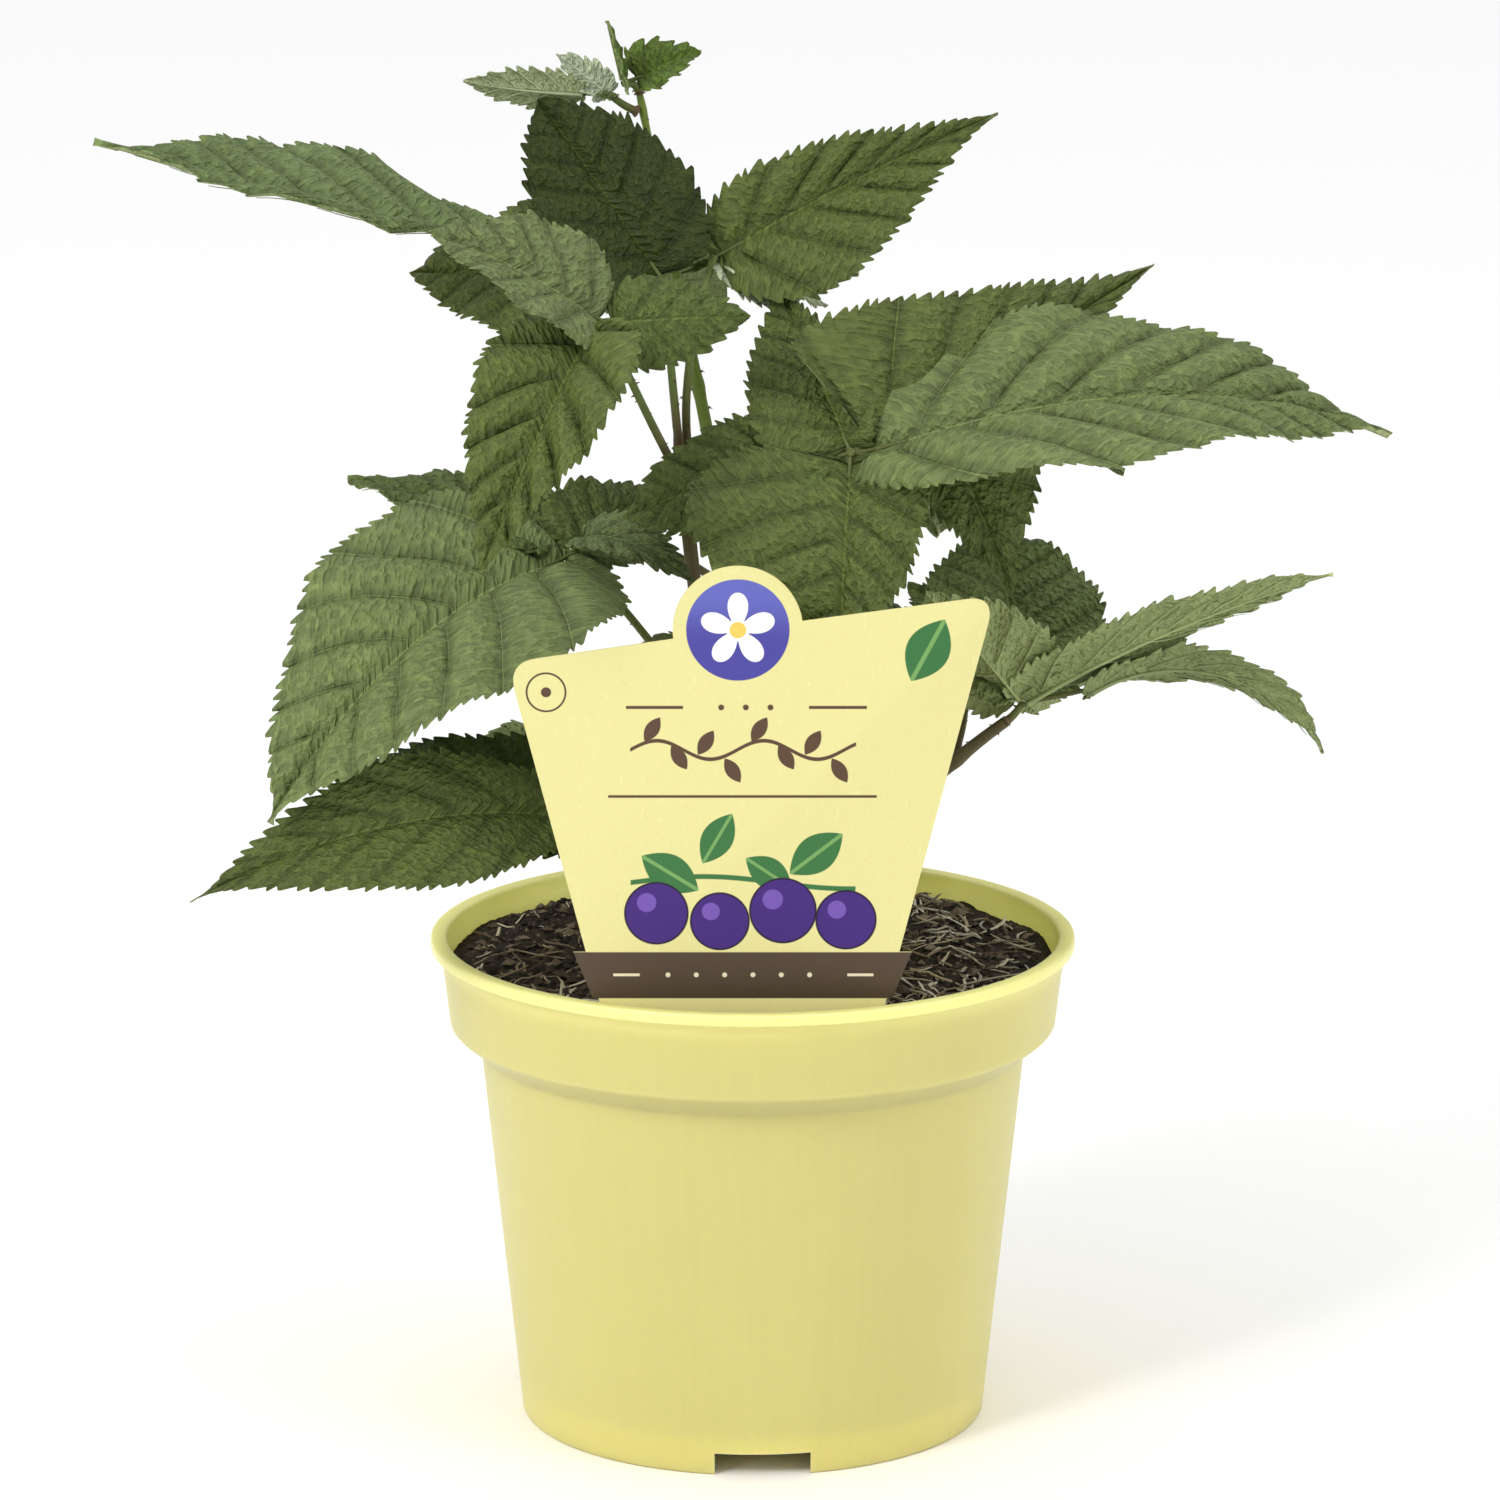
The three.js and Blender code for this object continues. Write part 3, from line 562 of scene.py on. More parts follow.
def leaf_finish():
    """Bramble leaf: olive green, sunken fine veins, wrinkled between them, paler and duller below; shade is
    painted into its wrinkles and vein valleys.
    """
    finish = Finish("Bramble leaf", IOR=1.45, Specular_IOR_Level=0.28)
    tint, under = finish.attribute("Tint"), finish.attribute("Under", "Fac")
    lines = finish.node("ShaderNodeUVMap", {"uv_map": "Veins"})
    order, _, _ = finish.xyz(lines)
    across, out, _ = finish.xyz(finish.node("ShaderNodeUVMap", {"uv_map": "Blade"}))
    to_vein = abs(order.fraction() - 0.5)
    side_vein, painted_valley_shade = to_vein.step(*SIDE_VEIN), to_vein.step(*VALLEY_SHADE)
    rib = 1 - abs(across).step(*MIDRIB)
    rungs = finish.grain(finish.scaled(lines, *RUNGS), 1.0, 1.0).step(0.36, 0.64)
    puckers = finish.grain(finish.scaled(lines, *PUCKERS), 1.0).step(0.34, 0.66)
    wrinkles = rungs * 0.5 + puckers * 0.5
    place = finish.place()
    clouds, spots = finish.grain(place, CLOUD, 3.0), finish.grain(place, SPOT, 3.0)
    colour = finish.shaded(tint, 0.6 + clouds * 0.5 + spots * 0.3)
    colour = finish.mix(spots.step(0.45, 0.8) * 0.3, colour, finish.shaded(tint, SPOT_LIGHT))
    # Painted shade: darker between the wrinkles and in the valley beside each side vein, lighter on the
    # wrinkles' crests
    colour = finish.shaded(colour, (0.78 + wrinkles * 0.46) * (1.04 - painted_valley_shade * 0.3))
    vein = finish.shaded(tint, VEIN_LIGHT)
    colour = finish.mix(side_vein * 0.34, colour, vein)
    colour = finish.mix(rib * 0.46, colour, vein)
    # Painted shade: the underside too is a little darker between the wrinkles
    below = finish.shaded(finish.mix(0.72, tint, UNDERSIDE), 0.74 + wrinkles * 0.14 + clouds * 0.22)
    below = finish.mix(side_vein * 0.22 | rib * 0.4, below, UNDER_VEIN)
    colour = finish.mix(under, colour, below)
    height = wrinkles * 0.9 + spots * 0.3 + side_vein * (under - 0.3)
    rough = 0.52 + under * 0.2 + (1 - wrinkles) * 0.1 + out * 0.02
    return finish.done(Base_Color=colour, Roughness=rough, Normal=finish.relief(height, 1.15))


def stalk_finish(name, sheen):
    """Fresh green stem skin, streaked lengthwise by its own tints."""
    finish = Finish(name, IOR=1.45, Specular_IOR_Level=0.4)
    place = finish.place()
    clouds = finish.grain(place, 3.0, 3.0)
    pits = finish.grain(place, 0.6, 2.0)
    colour = finish.shaded(finish.attribute("Tint"), 0.7 + clouds * 0.5)
    bump = finish.relief(pits, 0.15, 0.5)
    return finish.done(Base_Color=colour, Roughness=sheen + clouds * 0.15, Normal=bump)


def peat_finish():
    """Damp dark peat: crumbly at two scales, with paler dusty crests."""
    finish = Finish("Damp peat", IOR=1.4, Specular_IOR_Level=0.25)
    place = finish.place()
    coarse, small = finish.grain(place, 5.0, 6.0, 0.65), finish.grain(place, 0.9, 4.0, 0.6)
    colour = finish.mix(coarse.step(0.35, 0.7), PEAT_TONES[2], PEAT_TONES[0])
    colour = finish.mix(small.step(0.55, 0.75) * 0.7, colour, PEAT_TONES[3])
    height = coarse * 0.6 + small * 0.4
    bump = finish.relief(height, 1.2, 0.9)
    return finish.done(Base_Color=colour, Roughness=0.8 + small * 0.2, Normal=bump)


def bits_finish(name, size, rough):
    """Loose bits on the soil, each in its own tint."""
    finish = Finish(name, IOR=1.4, Specular_IOR_Level=0.25)
    grain = finish.grain(finish.place(), size, 3.0)
    colour = finish.shaded(finish.attribute("Tint"), 0.6 + grain * 0.8)
    bump = finish.relief(grain, 0.3, 0.7)
    return finish.done(Base_Color=colour, Roughness=rough + grain * 0.1, Normal=bump)


RIM_GLOW, INSIDE_GLOW = (-9, -1), (-24, -18)  # where the painted light at the rim and on the inner wall starts and is full, measured from the rim
STREAKS_ROUND, STREAKS_UP = 60, 0.045  # how the streaks are drawn out, round the pot and up it


def plastic_finish(colour, rim_colour):
    """Pale yellow pot plastic, satin, with faint upright streaks, lit through by subsurface light, and with
    painted light: a paler colour at the rim and on the inner wall near the top.
    """
    finish = Finish("Pale yellow plastic", IOR=1.46, Specular_IOR_Level=0.5, Subsurface_Weight=0.7,
                    Subsurface_Radius=(1.0, 0.95, 0.6), Subsurface_Scale=0.01)
    place = finish.place()
    x, y, z = finish.xyz(place)
    angle = x.maths("ARCTAN2", y)
    drawn_out = (angle * STREAKS_ROUND, 0.0, z * STREAKS_UP)
    upright = finish.node("ShaderNodeCombineXYZ", values=drawn_out)
    streaks = finish.grain(upright, 2.2, 3.0, 0.6)
    clouds = finish.grain(place, 30, 2.0)
    speck = finish.grain(place, 0.5, 1.0)
    from_rim = z - POT["height"]
    outside = (x ** 2 + y ** 2) ** 0.5 - from_rim * COLLAR_SLOPE - POT["collar_top"]
    inside = outside.under(-POT["wall"] / 2, 0.2) * from_rim.step(*INSIDE_GLOW)
    # Painted light: the rim and the top of the inner wall are blended towards a paler colour, as if lit
    # through
    base = finish.blend(from_rim.step(*RIM_GLOW) * 0.7 | inside, (*colour, 1), (*rim_colour, 1))
    base = finish.shaded(base, 0.955 + streaks * 0.06 + clouds * 0.03)
    height = streaks * 0.8 + speck * 0.2
    rough = 0.3 + streaks * 0.12 + speck * 0.05
    return finish.done(Base_Color=base, Roughness=rough, Normal=finish.relief(height, 0.22, 0.5))


class Print:
    """Flat shapes on the card's front, each as a value that is 1 inside it."""

    def __init__(self, finish):
        self.x, self.y, self.z = finish.xyz(finish.place())

    def distance(self, x, z):
        return ((self.x - x) ** 2 + (self.z - z) ** 2) ** 0.5

    def disc(self, x, z, radius):
        return self.distance(x, z).under(radius)

    def ring(self, x, z, radius, width):
        return abs(self.distance(x, z) - radius).under(width / 2, 0.08)

    def bar(self, x0, x1, z0, z1):
        wide = abs(self.x - (x0 + x1) / 2).under((x1 - x0) / 2)
        return wide * abs(self.z - (z0 + z1) / 2).under((z1 - z0) / 2)

    def leaf(self, x, z, turned, length, width):
        """A pointed leaf about its middle, turned in degrees from the right."""
        c, s = math.cos(math.radians(turned)), math.sin(math.radians(turned))
        along = (self.x - x) * c + (self.z - z) * s
        out = abs((self.z - z) * c - (self.x - x) * s)
        bulge = (1 - (along * (2 / length)) ** 2) * (width / 2)
        return (out - bulge).under(0.0) * abs(along).under(length / 2), out.under(width * 0.05, 0.1)

    def flower(self, x, z, radius, petals=5):
        """A simple open flower: its petals and the middle."""
        angle = (self.x - x).maths("ARCTAN2", self.z - z)
        lobes = abs((angle * (petals / 2)).maths("COSINE"))
        far = self.distance(x, z)
        return (far - lobes ** 0.6 * radius).under(0.0, 0.15) | far.under(radius * 0.3)

    def wave(self, z, rise, length, x0, x1, width):
        """A wavy line along x."""
        bend = ((self.x - x0) * (2 * math.pi / length)).maths("SINE") * rise
        inside = abs(self.x - (x0 + x1) / 2).under((x1 - x0) / 2)
        return abs(self.z - bend - z).under(width / 2, 0.1) * inside


def joined(shapes):
    """One shape from several."""
    whole, *others = shapes
    for shape in others:
        whole = whole | shape
    return whole


# The print's inks, then the places and sizes of its drawings on the card, in millimetres

PAPER, PAPER_SPECK, PAPER_FIBRE = (222, 215, 149), (214, 196, 120), (246, 242, 192)
INK, BAND, BAND_MARK = (88, 66, 50), (80, 66, 52), (232, 222, 190)
LEAF_INK, LEAF_LIGHT = (58, 112, 62), (116, 160, 92)
BERRY_INK, BERRY_LIGHT, BERRY_LINE = (66, 38, 118), (128, 96, 188), (40, 26, 52)
DISC_INK, DISC_LIGHT = (74, 70, 152), (112, 120, 200)
PETAL, FLOWER_MIDDLE = (246, 244, 236), (226, 196, 92)

VINE = dict(z=195, rise=2.4, length=27, x0=-31, x1=26, width=1.0)
VINE_LEAF = dict(count=8, first=3.4, ahead=2.2, out=3.6, turned=58, length=7.4, width=3.6)
RULES = [(-32, -17.6, 205.6, 206.4), (14.1, 28.7, 205.6, 206.4), (-36.6, 31.3, 182.6, 183.3)]
RULE_DOTS = [(x, 206, 0.75) for x in (-8, -1.8, 4.4)]
MARK_X, MARK_Z, MARK_RING, MARK_DOT = -52.1, 209.9, 4.9, 1.3
STEM = dict(z=160.5, rise=1.6, length=74, x0=-31, x1=26, width=1.3)
SPRIG = [(-21, 163, 148, 17, 9.5), (-9, 172, 60, 15, 8), (4, 163, -34, 14, 8), (16, 168, 38, 17, 9.5)]
BERRIES = [(-24.5, 152.5, 8.2), (-8.4, 150.4, 7.6), (7.6, 153.2, 8.6), (23.6, 150.8, 7.8)]
CORNER_LEAF = (44, 220.7, 62, 18, 11)
DISC_RADIUS, FLOWER_RADIUS, MIDDLE_RADIUS = 13, 9.6, 2.1
BAND_DASHES = [(-35.5, -28.8, 136.0, 136.7), (24, 30.6, 136.0, 136.7)]
BAND_DOTS = [(x, 136.35, 0.62) for x in (-21.6, -14.4, -7.2, 0, 7.2, 14.4)]


def vine_leaves(p):
    """The small leaves that stand above and below the vine by turns."""
    for i in range(VINE_LEAF["count"]):
        along = VINE_LEAF["first"] + i * VINE["length"] / 4
        rise = VINE["rise"] * math.sin(along * 2 * math.pi / VINE["length"])
        up = 1 if i % 2 == 0 else -1
        x, z = VINE["x0"] + along + VINE_LEAF["ahead"], VINE["z"] + rise + up * VINE_LEAF["out"]
        yield p.leaf(x, z, VINE_LEAF["turned"] * up, VINE_LEAF["length"], VINE_LEAF["width"])[0]


def drawings(p):
    """What the card shows, as shapes and their inks from the lowest layer up."""
    rules = [*(p.bar(*row) for row in RULES), *(p.disc(*row) for row in RULE_DOTS)]
    mark = [p.ring(MARK_X, MARK_Z, MARK_RING, 0.5), p.disc(MARK_X, MARK_Z, MARK_DOT)]
    blades, corner = [p.leaf(*row) for row in SPRIG], p.leaf(*CORNER_LEAF)
    tab = CARD["tab_x"], CARD["tab_z"]
    disc = p.distance(*tab).under(DISC_RADIUS)
    marks = [*(p.bar(*row) for row in BAND_DASHES), *(p.disc(*row) for row in BAND_DOTS)]
    return [
        (joined([p.wave(**VINE), *vine_leaves(p), *rules, *mark]), INK),
        (p.wave(**STEM), LEAF_INK),
        (joined(inside for inside, _ in blades), LEAF_INK),
        (joined(inside * rib for inside, rib in blades), LEAF_LIGHT),
        (joined(p.disc(x, z, r) for x, z, r in BERRIES), BERRY_LINE),
        (joined(p.disc(x, z, r - 0.5) for x, z, r in BERRIES), BERRY_INK),
        (joined(p.disc(x - r * 0.3, z + r * 0.34, r * 0.3) for x, z, r in BERRIES) * 0.7, BERRY_LIGHT),
        (corner[0], LEAF_INK),
        (corner[0] * corner[1], LEAF_LIGHT),
        (disc, DISC_INK),
        (disc * (p.z - CARD["tab_z"]).step(-4, 10) * 0.55, DISC_LIGHT),
        (p.flower(*tab, FLOWER_RADIUS), PETAL),
        (p.disc(*tab, MIDDLE_RADIUS), FLOWER_MIDDLE),
        (p.bar(-60, 60, CARD["band_foot"], CARD["band_top"]), BAND),
        (joined(marks), BAND_MARK),
    ]


def card_finish():
    """Speckled pale yellow card with a plain drawn bramble sprig, vine and flower on its front."""
    finish = Finish("Printed card", IOR=1.45, Specular_IOR_Level=0.3)
    p, place = Print(finish), finish.place()
    specks = finish.grain(place, 0.7, 2.0)
    fibres = finish.grain(finish.scaled(place, 1.0, 1.0, 0.35), 1.1, 3.0)
    paper = finish.mix(specks.step(0.62, 0.74) * 0.35, PAPER, PAPER_SPECK)
    paper = colour = finish.mix(fibres.step(0.6, 0.75) * 0.18, paper, PAPER_FIBRE)
    for shape, ink in drawings(p):
        colour = finish.mix(shape, colour, ink)
    # Painted light: the card below the band is made 35 % lighter, to undo the shade that falls on it down by
    # the pot's rim
    colour = finish.shaded(colour, 1 + p.z.under(CARD["band_foot"]) * 0.35)
    front = (p.y - CARD["plane"]).under(-CARD["thick"] * 0.3, 0.02)
    colour = finish.mix(front, paper, colour)
    bump = finish.relief(fibres, 0.05, 0.4)
    return finish.done(Base_Color=colour, Roughness=0.5 + specks * 0.1, Normal=bump)


def floor_finish(colour):
    """Pale matt studio floor."""
    finish = Finish("Pale studio floor", IOR=1.4, Specular_IOR_Level=0.1)
    haze = finish.grain(finish.place(), 400, 2.0)
    base = finish.blend(haze * 0.2, (*colour, 1), (*[c * 0.97 for c in colour], 1))
    return finish.done(Base_Color=base, Roughness=0.85 + haze * 0.1)


# Pot

MERGE = 0.01 * MM  # points that lie nearer than this become one


def body_radius(z):
    """Outer radius of the pot's tapered body."""
    top = POT["height"] - POT["collar_height"] - POT["shoulder"]
    return POT["foot_radius"] + (POT["body_top"] - POT["foot_radius"]) * z / top


def outline_object(name, points, closed):
    """A line of points as an object, ready for the operators."""
    mesh = bpy.data.meshes.new(name)
    edges = [(i, i + 1) for i in range(len(points) - 1)] + ([(len(points) - 1, 0)] if closed else [])
    mesh.from_pydata([Vector(p) * MM for p in points], edges, [])
    obj = bpy.data.objects.new(name, mesh)
    bpy.context.scene.collection.objects.link(obj)
    pick(obj)
    return obj


def apply_modifier(obj, kind, **settings):
    pick(obj)
    modifier = obj.modifiers.new(kind.title(), kind)
    for key, value in settings.items():
        setattr(modifier, key, value)
    bpy.ops.object.modifier_apply(modifier=modifier.name)


def cut_away(obj, cutter):
    """Takes a cutter out of a piece and deletes it."""
    apply_modifier(obj, "BOOLEAN", operation="DIFFERENCE", object=cutter, solver="EXACT")
    pick(cutter)
    bpy.ops.object.delete()


def pot_outline(wall):
    """Radius and height of the shell's corners, from the axis below the floor round to the axis above it."""
    p, height = POT, POT["height"]
    floor, foot = p["floor_under"] + p["floor_thick"], p["foot_radius"]
    collar_foot, under_lip = height - p["collar_height"], height - p["lip"]
    body_top = collar_foot - p["shoulder"]
    return [
        (0, p["floor_under"]), (body_radius(p["floor_under"]) - p["foot_wall"], p["floor_under"]),
        (foot - p["foot_wall"], 0), (foot, 0), (p["body_top"], body_top),
        (p["collar_foot"] - 2 * p["edge"], collar_foot - p["edge"]),
        (p["collar_foot"], collar_foot + p["edge"]), (p["collar_top"], under_lip),
        (p["rim_radius"], under_lip), (p["rim_radius"], height),
        (p["collar_top"] - wall, height), (p["collar_foot"] - wall, collar_foot),
        (p["body_top"] - wall, body_top - p["edge"]), (body_radius(floor) - wall, floor), (0, floor),
    ]


def make_pot(shape):
    """The shell turned from its outline, with slots cut in its foot and drain holes in its floor."""
    outline = [(radius, 0, z) for radius, z in pot_outline(shape.wall / MM)]
    pot = outline_object("pot_shell", outline, closed=False)
    apply_modifier(pot, "BEVEL", affect="VERTICES", width=shape.rounding, segments=4)
    apply_modifier(pot, "SCREW", steps=shape.sides, render_steps=shape.sides, use_merge_vertices=True,
                   merge_threshold=MERGE)
    bpy.ops.object.mode_set(mode="EDIT")
    bpy.ops.mesh.select_all(action="SELECT")
    bpy.ops.mesh.remove_doubles(threshold=MERGE)
    bpy.ops.mesh.normals_make_consistent(inside=False)
    bpy.ops.object.mode_set(mode="OBJECT")
    p = POT
    for i in range(p["slots"]):
        angle = math.radians(p["slot_turn"] - 90 + i * 360 / p["slots"])
        middle = Vector((math.cos(angle), math.sin(angle), 0)) * p["foot_radius"] * MM
        bpy.ops.mesh.primitive_cube_add(size=1, location=middle, rotation=(0, 0, angle))
        cutter = bpy.context.object
        cutter.scale = (p["slot_depth"] * MM, p["slot_width"] * MM, 2 * p["slot_height"] * MM)
        apply_modifier(cutter, "BEVEL", width=p["slot_rounding"] * MM, segments=4)
        cut_away(pot, cutter)
    floor = p["floor_under"] + p["floor_thick"]
    for i in range(p["drains"]):
        angle = (i + 0.5) * 2 * math.pi / p["drains"]
        middle = Vector((math.cos(angle) * p["drain_ring"], math.sin(angle) * p["drain_ring"], floor)) * MM
        bpy.ops.mesh.primitive_cylinder_add(
            vertices=32, radius=p["drain_radius"] * MM, depth=4 * p["floor_thick"] * MM, location=middle)
        cut_away(pot, bpy.context.object)
    finish_piece(pot, plastic_finish(shape.colour, shape.rim_colour), 32)
    place_piece(pot, "pot", "pot")


# Soil

SLIT = dict(x=-2.6, z=122, width=68, height=32)  # the cutter that leaves room for the card
CARD_ENDS = (-36, 31)  # loose bits keep off the card between these two places
REACH = 77  # and stay within this of the pot's axis
SHORE = 5  # over this last stretch the peat gets smoother and dips towards the wall
CARD_GAP = 1.7  # straws that would cross the card are laid beside it at this distance

# How fine and how high each layer of the peat's lumps is, and where its noise is sliced
LUMPS = ((0.11, 1.0, 3.0), (0.34, 1.1, 7.0), (0.9, 0.7, 1.0))

# Sizes of the loose bits, with the share of the commoner ones
CRUMB, CHIP, CRUMBS_SMALL = (0.5, 1.25), (1.3, 2.4), 0.86
STRAW, LONG_STRAW, STRAWS_SHORT = (3.5, 9), (9, 17), 0.75
STRAW_TAPER = [0.6, 1, 1, 1, 0.9, 0.5]
CRUMB_ROOM, STRAW_ROOM = 1.8, 2.5
STRAWS_MOVED = 0.4  # this share of the straws is thrown to the right half of the soil


def soil_level(x, y):
    """Height of the peat's top before its crumbs."""
    radius = np.hypot(x, y)
    fade = smooth_step(radius, SOIL["flat_radius"], SOIL["flat_radius"] + SOIL["fade"])
    lumps = np.sin(x * 0.13 + 1) * np.cos(y * 0.11) + 0.6 * np.sin(x * 0.07 - y * 0.15)
    rise = SOIL["crown"] * (1 - radius / POT["rim_radius"]) * fade + SOIL["crown"] * (1 - fade)
    return SOIL["level"] + rise + 0.7 * lumps * fade


def crumble(x, y):
    """The peat's own small lumps at a place, in millimetres."""
    return sum(noise.noise(Vector((x * fine, y * fine, depth))) * high for fine, high, depth in LUMPS)


def clear_of_card(x, y, room):
    """True where something of a size doesn't touch the card in its slit."""
    beside = abs(y - CARD["plane"]) > room + CARD["thick"]
    return beside or not CARD_ENDS[0] - room < x < CARD_ENDS[1] + room


def clear_of_canes(x, y, room):
    return all(math.hypot(x - c["x"], y - c["y"]) > c["thick"] + room for c in CANES.values())


def make_peat(bed):
    """The filling of the pot, with a crumbly top."""
    gap = POT["wall"] + CLEAR
    top = POT["height"] - POT["collar_height"]
    edge = POT["collar_foot"] + COLLAR_SLOPE * (SOIL["level"] - top) - gap
    rings, sides = bed.rings, bed.rings * 3
    radii = edge * np.linspace(0, 1, rings + 1)[1:] ** 0.85
    angle = np.arange(sides) * 2 * math.pi / sides
    x, y = radii[:, None] * np.cos(angle), radii[:, None] * np.sin(angle)
    z = soil_level(x, y)
    rough = np.array([crumble(a, b) for a, b in zip(x.ravel(), y.ravel())]).reshape(x.shape)
    near_cane = np.min([np.hypot(x - c["x"], y - c["y"]) - c["thick"] for c in CANES.values()], axis=0)
    flat = smooth_step(near_cane, 0, 4) * 0.85 + 0.15
    edge_drop = smooth_step(radii, edge - SHORE, edge)[:, None]
    z = z + rough * flat * (1 - 0.6 * edge_drop) - 0.8 * edge_drop
    floor = POT["floor_under"] + POT["floor_thick"] + CLEAR
    body_top = top - POT["shoulder"]
    lower = [(POT["collar_foot"] - gap, top + CLEAR), (POT["body_top"] - gap, body_top - CLEAR),
             (body_radius(floor) - gap, floor)]
    shell = np.array([[(r * math.cos(a), r * math.sin(a), h) for a in angle] for r, h in lower])
    grid = np.concatenate([np.stack([x, y, z], axis=-1), shell])
    ends = [[0, 0, float(soil_level(0, 0))], [0, 0, floor]]
    heap = Heap()
    heap.add(np.concatenate([grid.reshape(-1, 3), ends]), ring_faces(len(grid), sides), (1, 1, 1))
    peat = heap.piece("peat", peat_finish(), 60)
    bpy.ops.mesh.primitive_cube_add(size=1, location=(SLIT["x"] * MM, CARD["plane"] * MM, SLIT["z"] * MM))
    cutter = bpy.context.object
    cutter.scale = (SLIT["width"] * MM, (CARD["thick"] + 2 * CLEAR) * MM, SLIT["height"] * MM)
    cut_away(peat, cutter)
    place_piece(peat, "peat", "soil")


CRUMB_CORNERS = [[1, 0, 0], [0, 1, 0], [-1, 0, 0], [0, -1, 0], [0, 0, 1], [0, 0, -1]]
CRUMB_FACES = np.array([
    [0, 1, 4], [1, 2, 4], [2, 3, 4], [3, 0, 4], [1, 0, 5], [2, 1, 5], [3, 2, 5], [0, 3, 5]])


def lump(heap, middle, radii, turned, tint, rng):
    """An eight-faced crumb with uneven corners."""
    corners = CRUMB_CORNERS * rng.uniform(0.7, 1.15, (6, 1))
    c, s = math.cos(turned), math.sin(turned)
    spun = corners * radii @ np.array([[c, s, 0], [-s, c, 0], [0, 0, 1]])
    spun[:, 2] += spun[:, 0] * rng.uniform(-0.35, 0.35)
    flat = np.clip(0.5 + 0.44 * corners[CRUMB_FACES.ravel(), :2], 0.02, 0.98)
    heap.add(middle + spun, [CRUMB_FACES], tint, maps={"OFBake": on_tile(heap.tile(), flat)})


def scatter(rng, count, room, more_right=0.0):
    """Random places on the soil, clear of the card and the canes."""
    found = []
    while len(found) < count:
        x, y = rng.uniform(-REACH, REACH, 2)
        x = abs(x) if rng.random() < more_right else x
        if math.hypot(x, y) < REACH - room and clear_of_card(x, y, room) and clear_of_canes(x, y, room):
            found.append((x, y))
    return found


def ground_at(x, y):
    return float(soil_level(np.array(x), np.array(y))) + crumble(x, y)


def any_tone(tones, rng, low, high):
    """One of several tones as light, made darker or lighter."""
    return np.array(linear(tones[rng.integers(len(tones))])) * rng.uniform(low, high)


def make_crumbs(bed, rng):
    """Loose crumbs and bark chips of the peat."""
    heap = Heap("OFBake")
    for x, y in scatter(rng, bed.crumbs, CRUMB_ROOM):
        size = rng.uniform(*CRUMB) if rng.random() < CRUMBS_SMALL else rng.uniform(*CHIP)
        tint = any_tone(PEAT_TONES, rng, 0.7, 1.3)
        radii = size * np.array([rng.uniform(0.9, 1.6), rng.uniform(0.7, 1.1), rng.uniform(0.45, 0.9)])
        lump(heap, (x, y, ground_at(x, y) + size * 0.25), radii, rng.uniform(0, math.tau), tint, rng)
    place_piece(heap.piece("soil_crumbs", bits_finish("Peat crumbs", 0.8, 0.85), 30), "peat")


def straw_place(x, y, beside):
    """The place nearest by where a bit of straw keeps within the pot and off the card."""
    far = math.hypot(x, y)
    if far > REACH:
        x, y = x * REACH / far, y * REACH / far
    if not clear_of_card(x, y, 0.8):
        y = CARD["plane"] + (CARD_GAP if beside > CARD["plane"] else -CARD_GAP)
    return x, y


def make_straws(bed, rng):
    """Pale straws and wood fibres that lie on the soil, some of them bent."""
    heap, steps = Heap("OFBake"), len(STRAW_TAPER)
    for x, y in scatter(rng, bed.straws, STRAW_ROOM, STRAWS_MOVED):
        long = rng.uniform(*STRAW) if rng.random() < STRAWS_SHORT else rng.uniform(*LONG_STRAW)
        angle, bend = rng.uniform(0, math.pi), rng.uniform(-0.3, 0.3)
        wide, tilt = rng.uniform(0.22, 0.55), rng.uniform(-0.16, 0.22)
        tint = any_tone(STRAW_TONES, rng, 0.5, 1.1)
        points = []
        for u in np.linspace(-0.5, 0.5, steps):
            turned = angle + bend * u * 2
            px, py = straw_place(x + math.cos(turned) * long * u, y + math.sin(turned) * long * u, y)
            points.append((px, py, ground_at(px, py) + wide * 0.6 + abs(tilt) * long * (u + 0.5)))
        points = np.array(points)
        straight = np.interp(np.arange(steps), [0, steps - 1], points[[0, -1], 2])
        points[:, 2] = np.maximum(points[:, 2], straight)
        strand(heap, points, wide * np.array(STRAW_TAPER), tint, 5, flat=rng.uniform(0.35, 0.8))
    place_piece(heap.piece("soil_straws", bits_finish("Straw fibres", 0.5, 0.7), 40), "peat")


# Card

TAB_STEPS = 40


def side_at(height, side):
    """Where the card's sloping side lies at a height."""
    x, z = CARD["corner_left"] if side < 0 else CARD["corner_right"]
    foot = CARD["foot_left"] if side < 0 else CARD["foot_right"]
    return foot + (x - foot) * (height - CARD["foot"]) / (z - CARD["foot"])


def rounded(start, corner, end, steps=10):
    """Points of a round corner between two places on its sides."""
    rows = [i / steps for i in range(steps + 1)]
    return [tuple(s * (1 - u) ** 2 + c * 2 * u * (1 - u) + e * u * u for s, c, e in zip(start, corner, end))
            for u in rows]


def card_outline():
    """The card's corners from the left end of its foot anticlockwise."""
    c = CARD
    left, right = Vector(c["corner_left"]), Vector(c["corner_right"])
    top = (right - left).normalized()
    down, tilt = c["corner_radius"], math.atan2(top.y, top.x)
    band = [(c["band_foot"], 0), (c["band_foot"], c["proud_low"]), (c["band_top"], c["proud_high"]),
            (c["band_top"], 0)]

    def on_side(side, height, proud=0):
        return side_at(height, side) + side * proud, height

    points = [(c["foot_left"], c["foot"]), (c["foot_right"], c["foot"])]
    points += [on_side(1, *row) for row in band]
    points += rounded(on_side(1, right.y - down), right, right - top * down)
    for i in range(TAB_STEPS + 1):
        angle = tilt + math.pi * i / TAB_STEPS
        x, z = c["tab_radius"] * math.cos(angle), c["tab_radius"] * math.sin(angle)
        points.append((c["tab_x"] + x, c["tab_z"] + z))
    points += rounded(left + top * down, left, on_side(-1, left.y - down))
    points += [on_side(-1, *row) for row in reversed(band)]
    return points


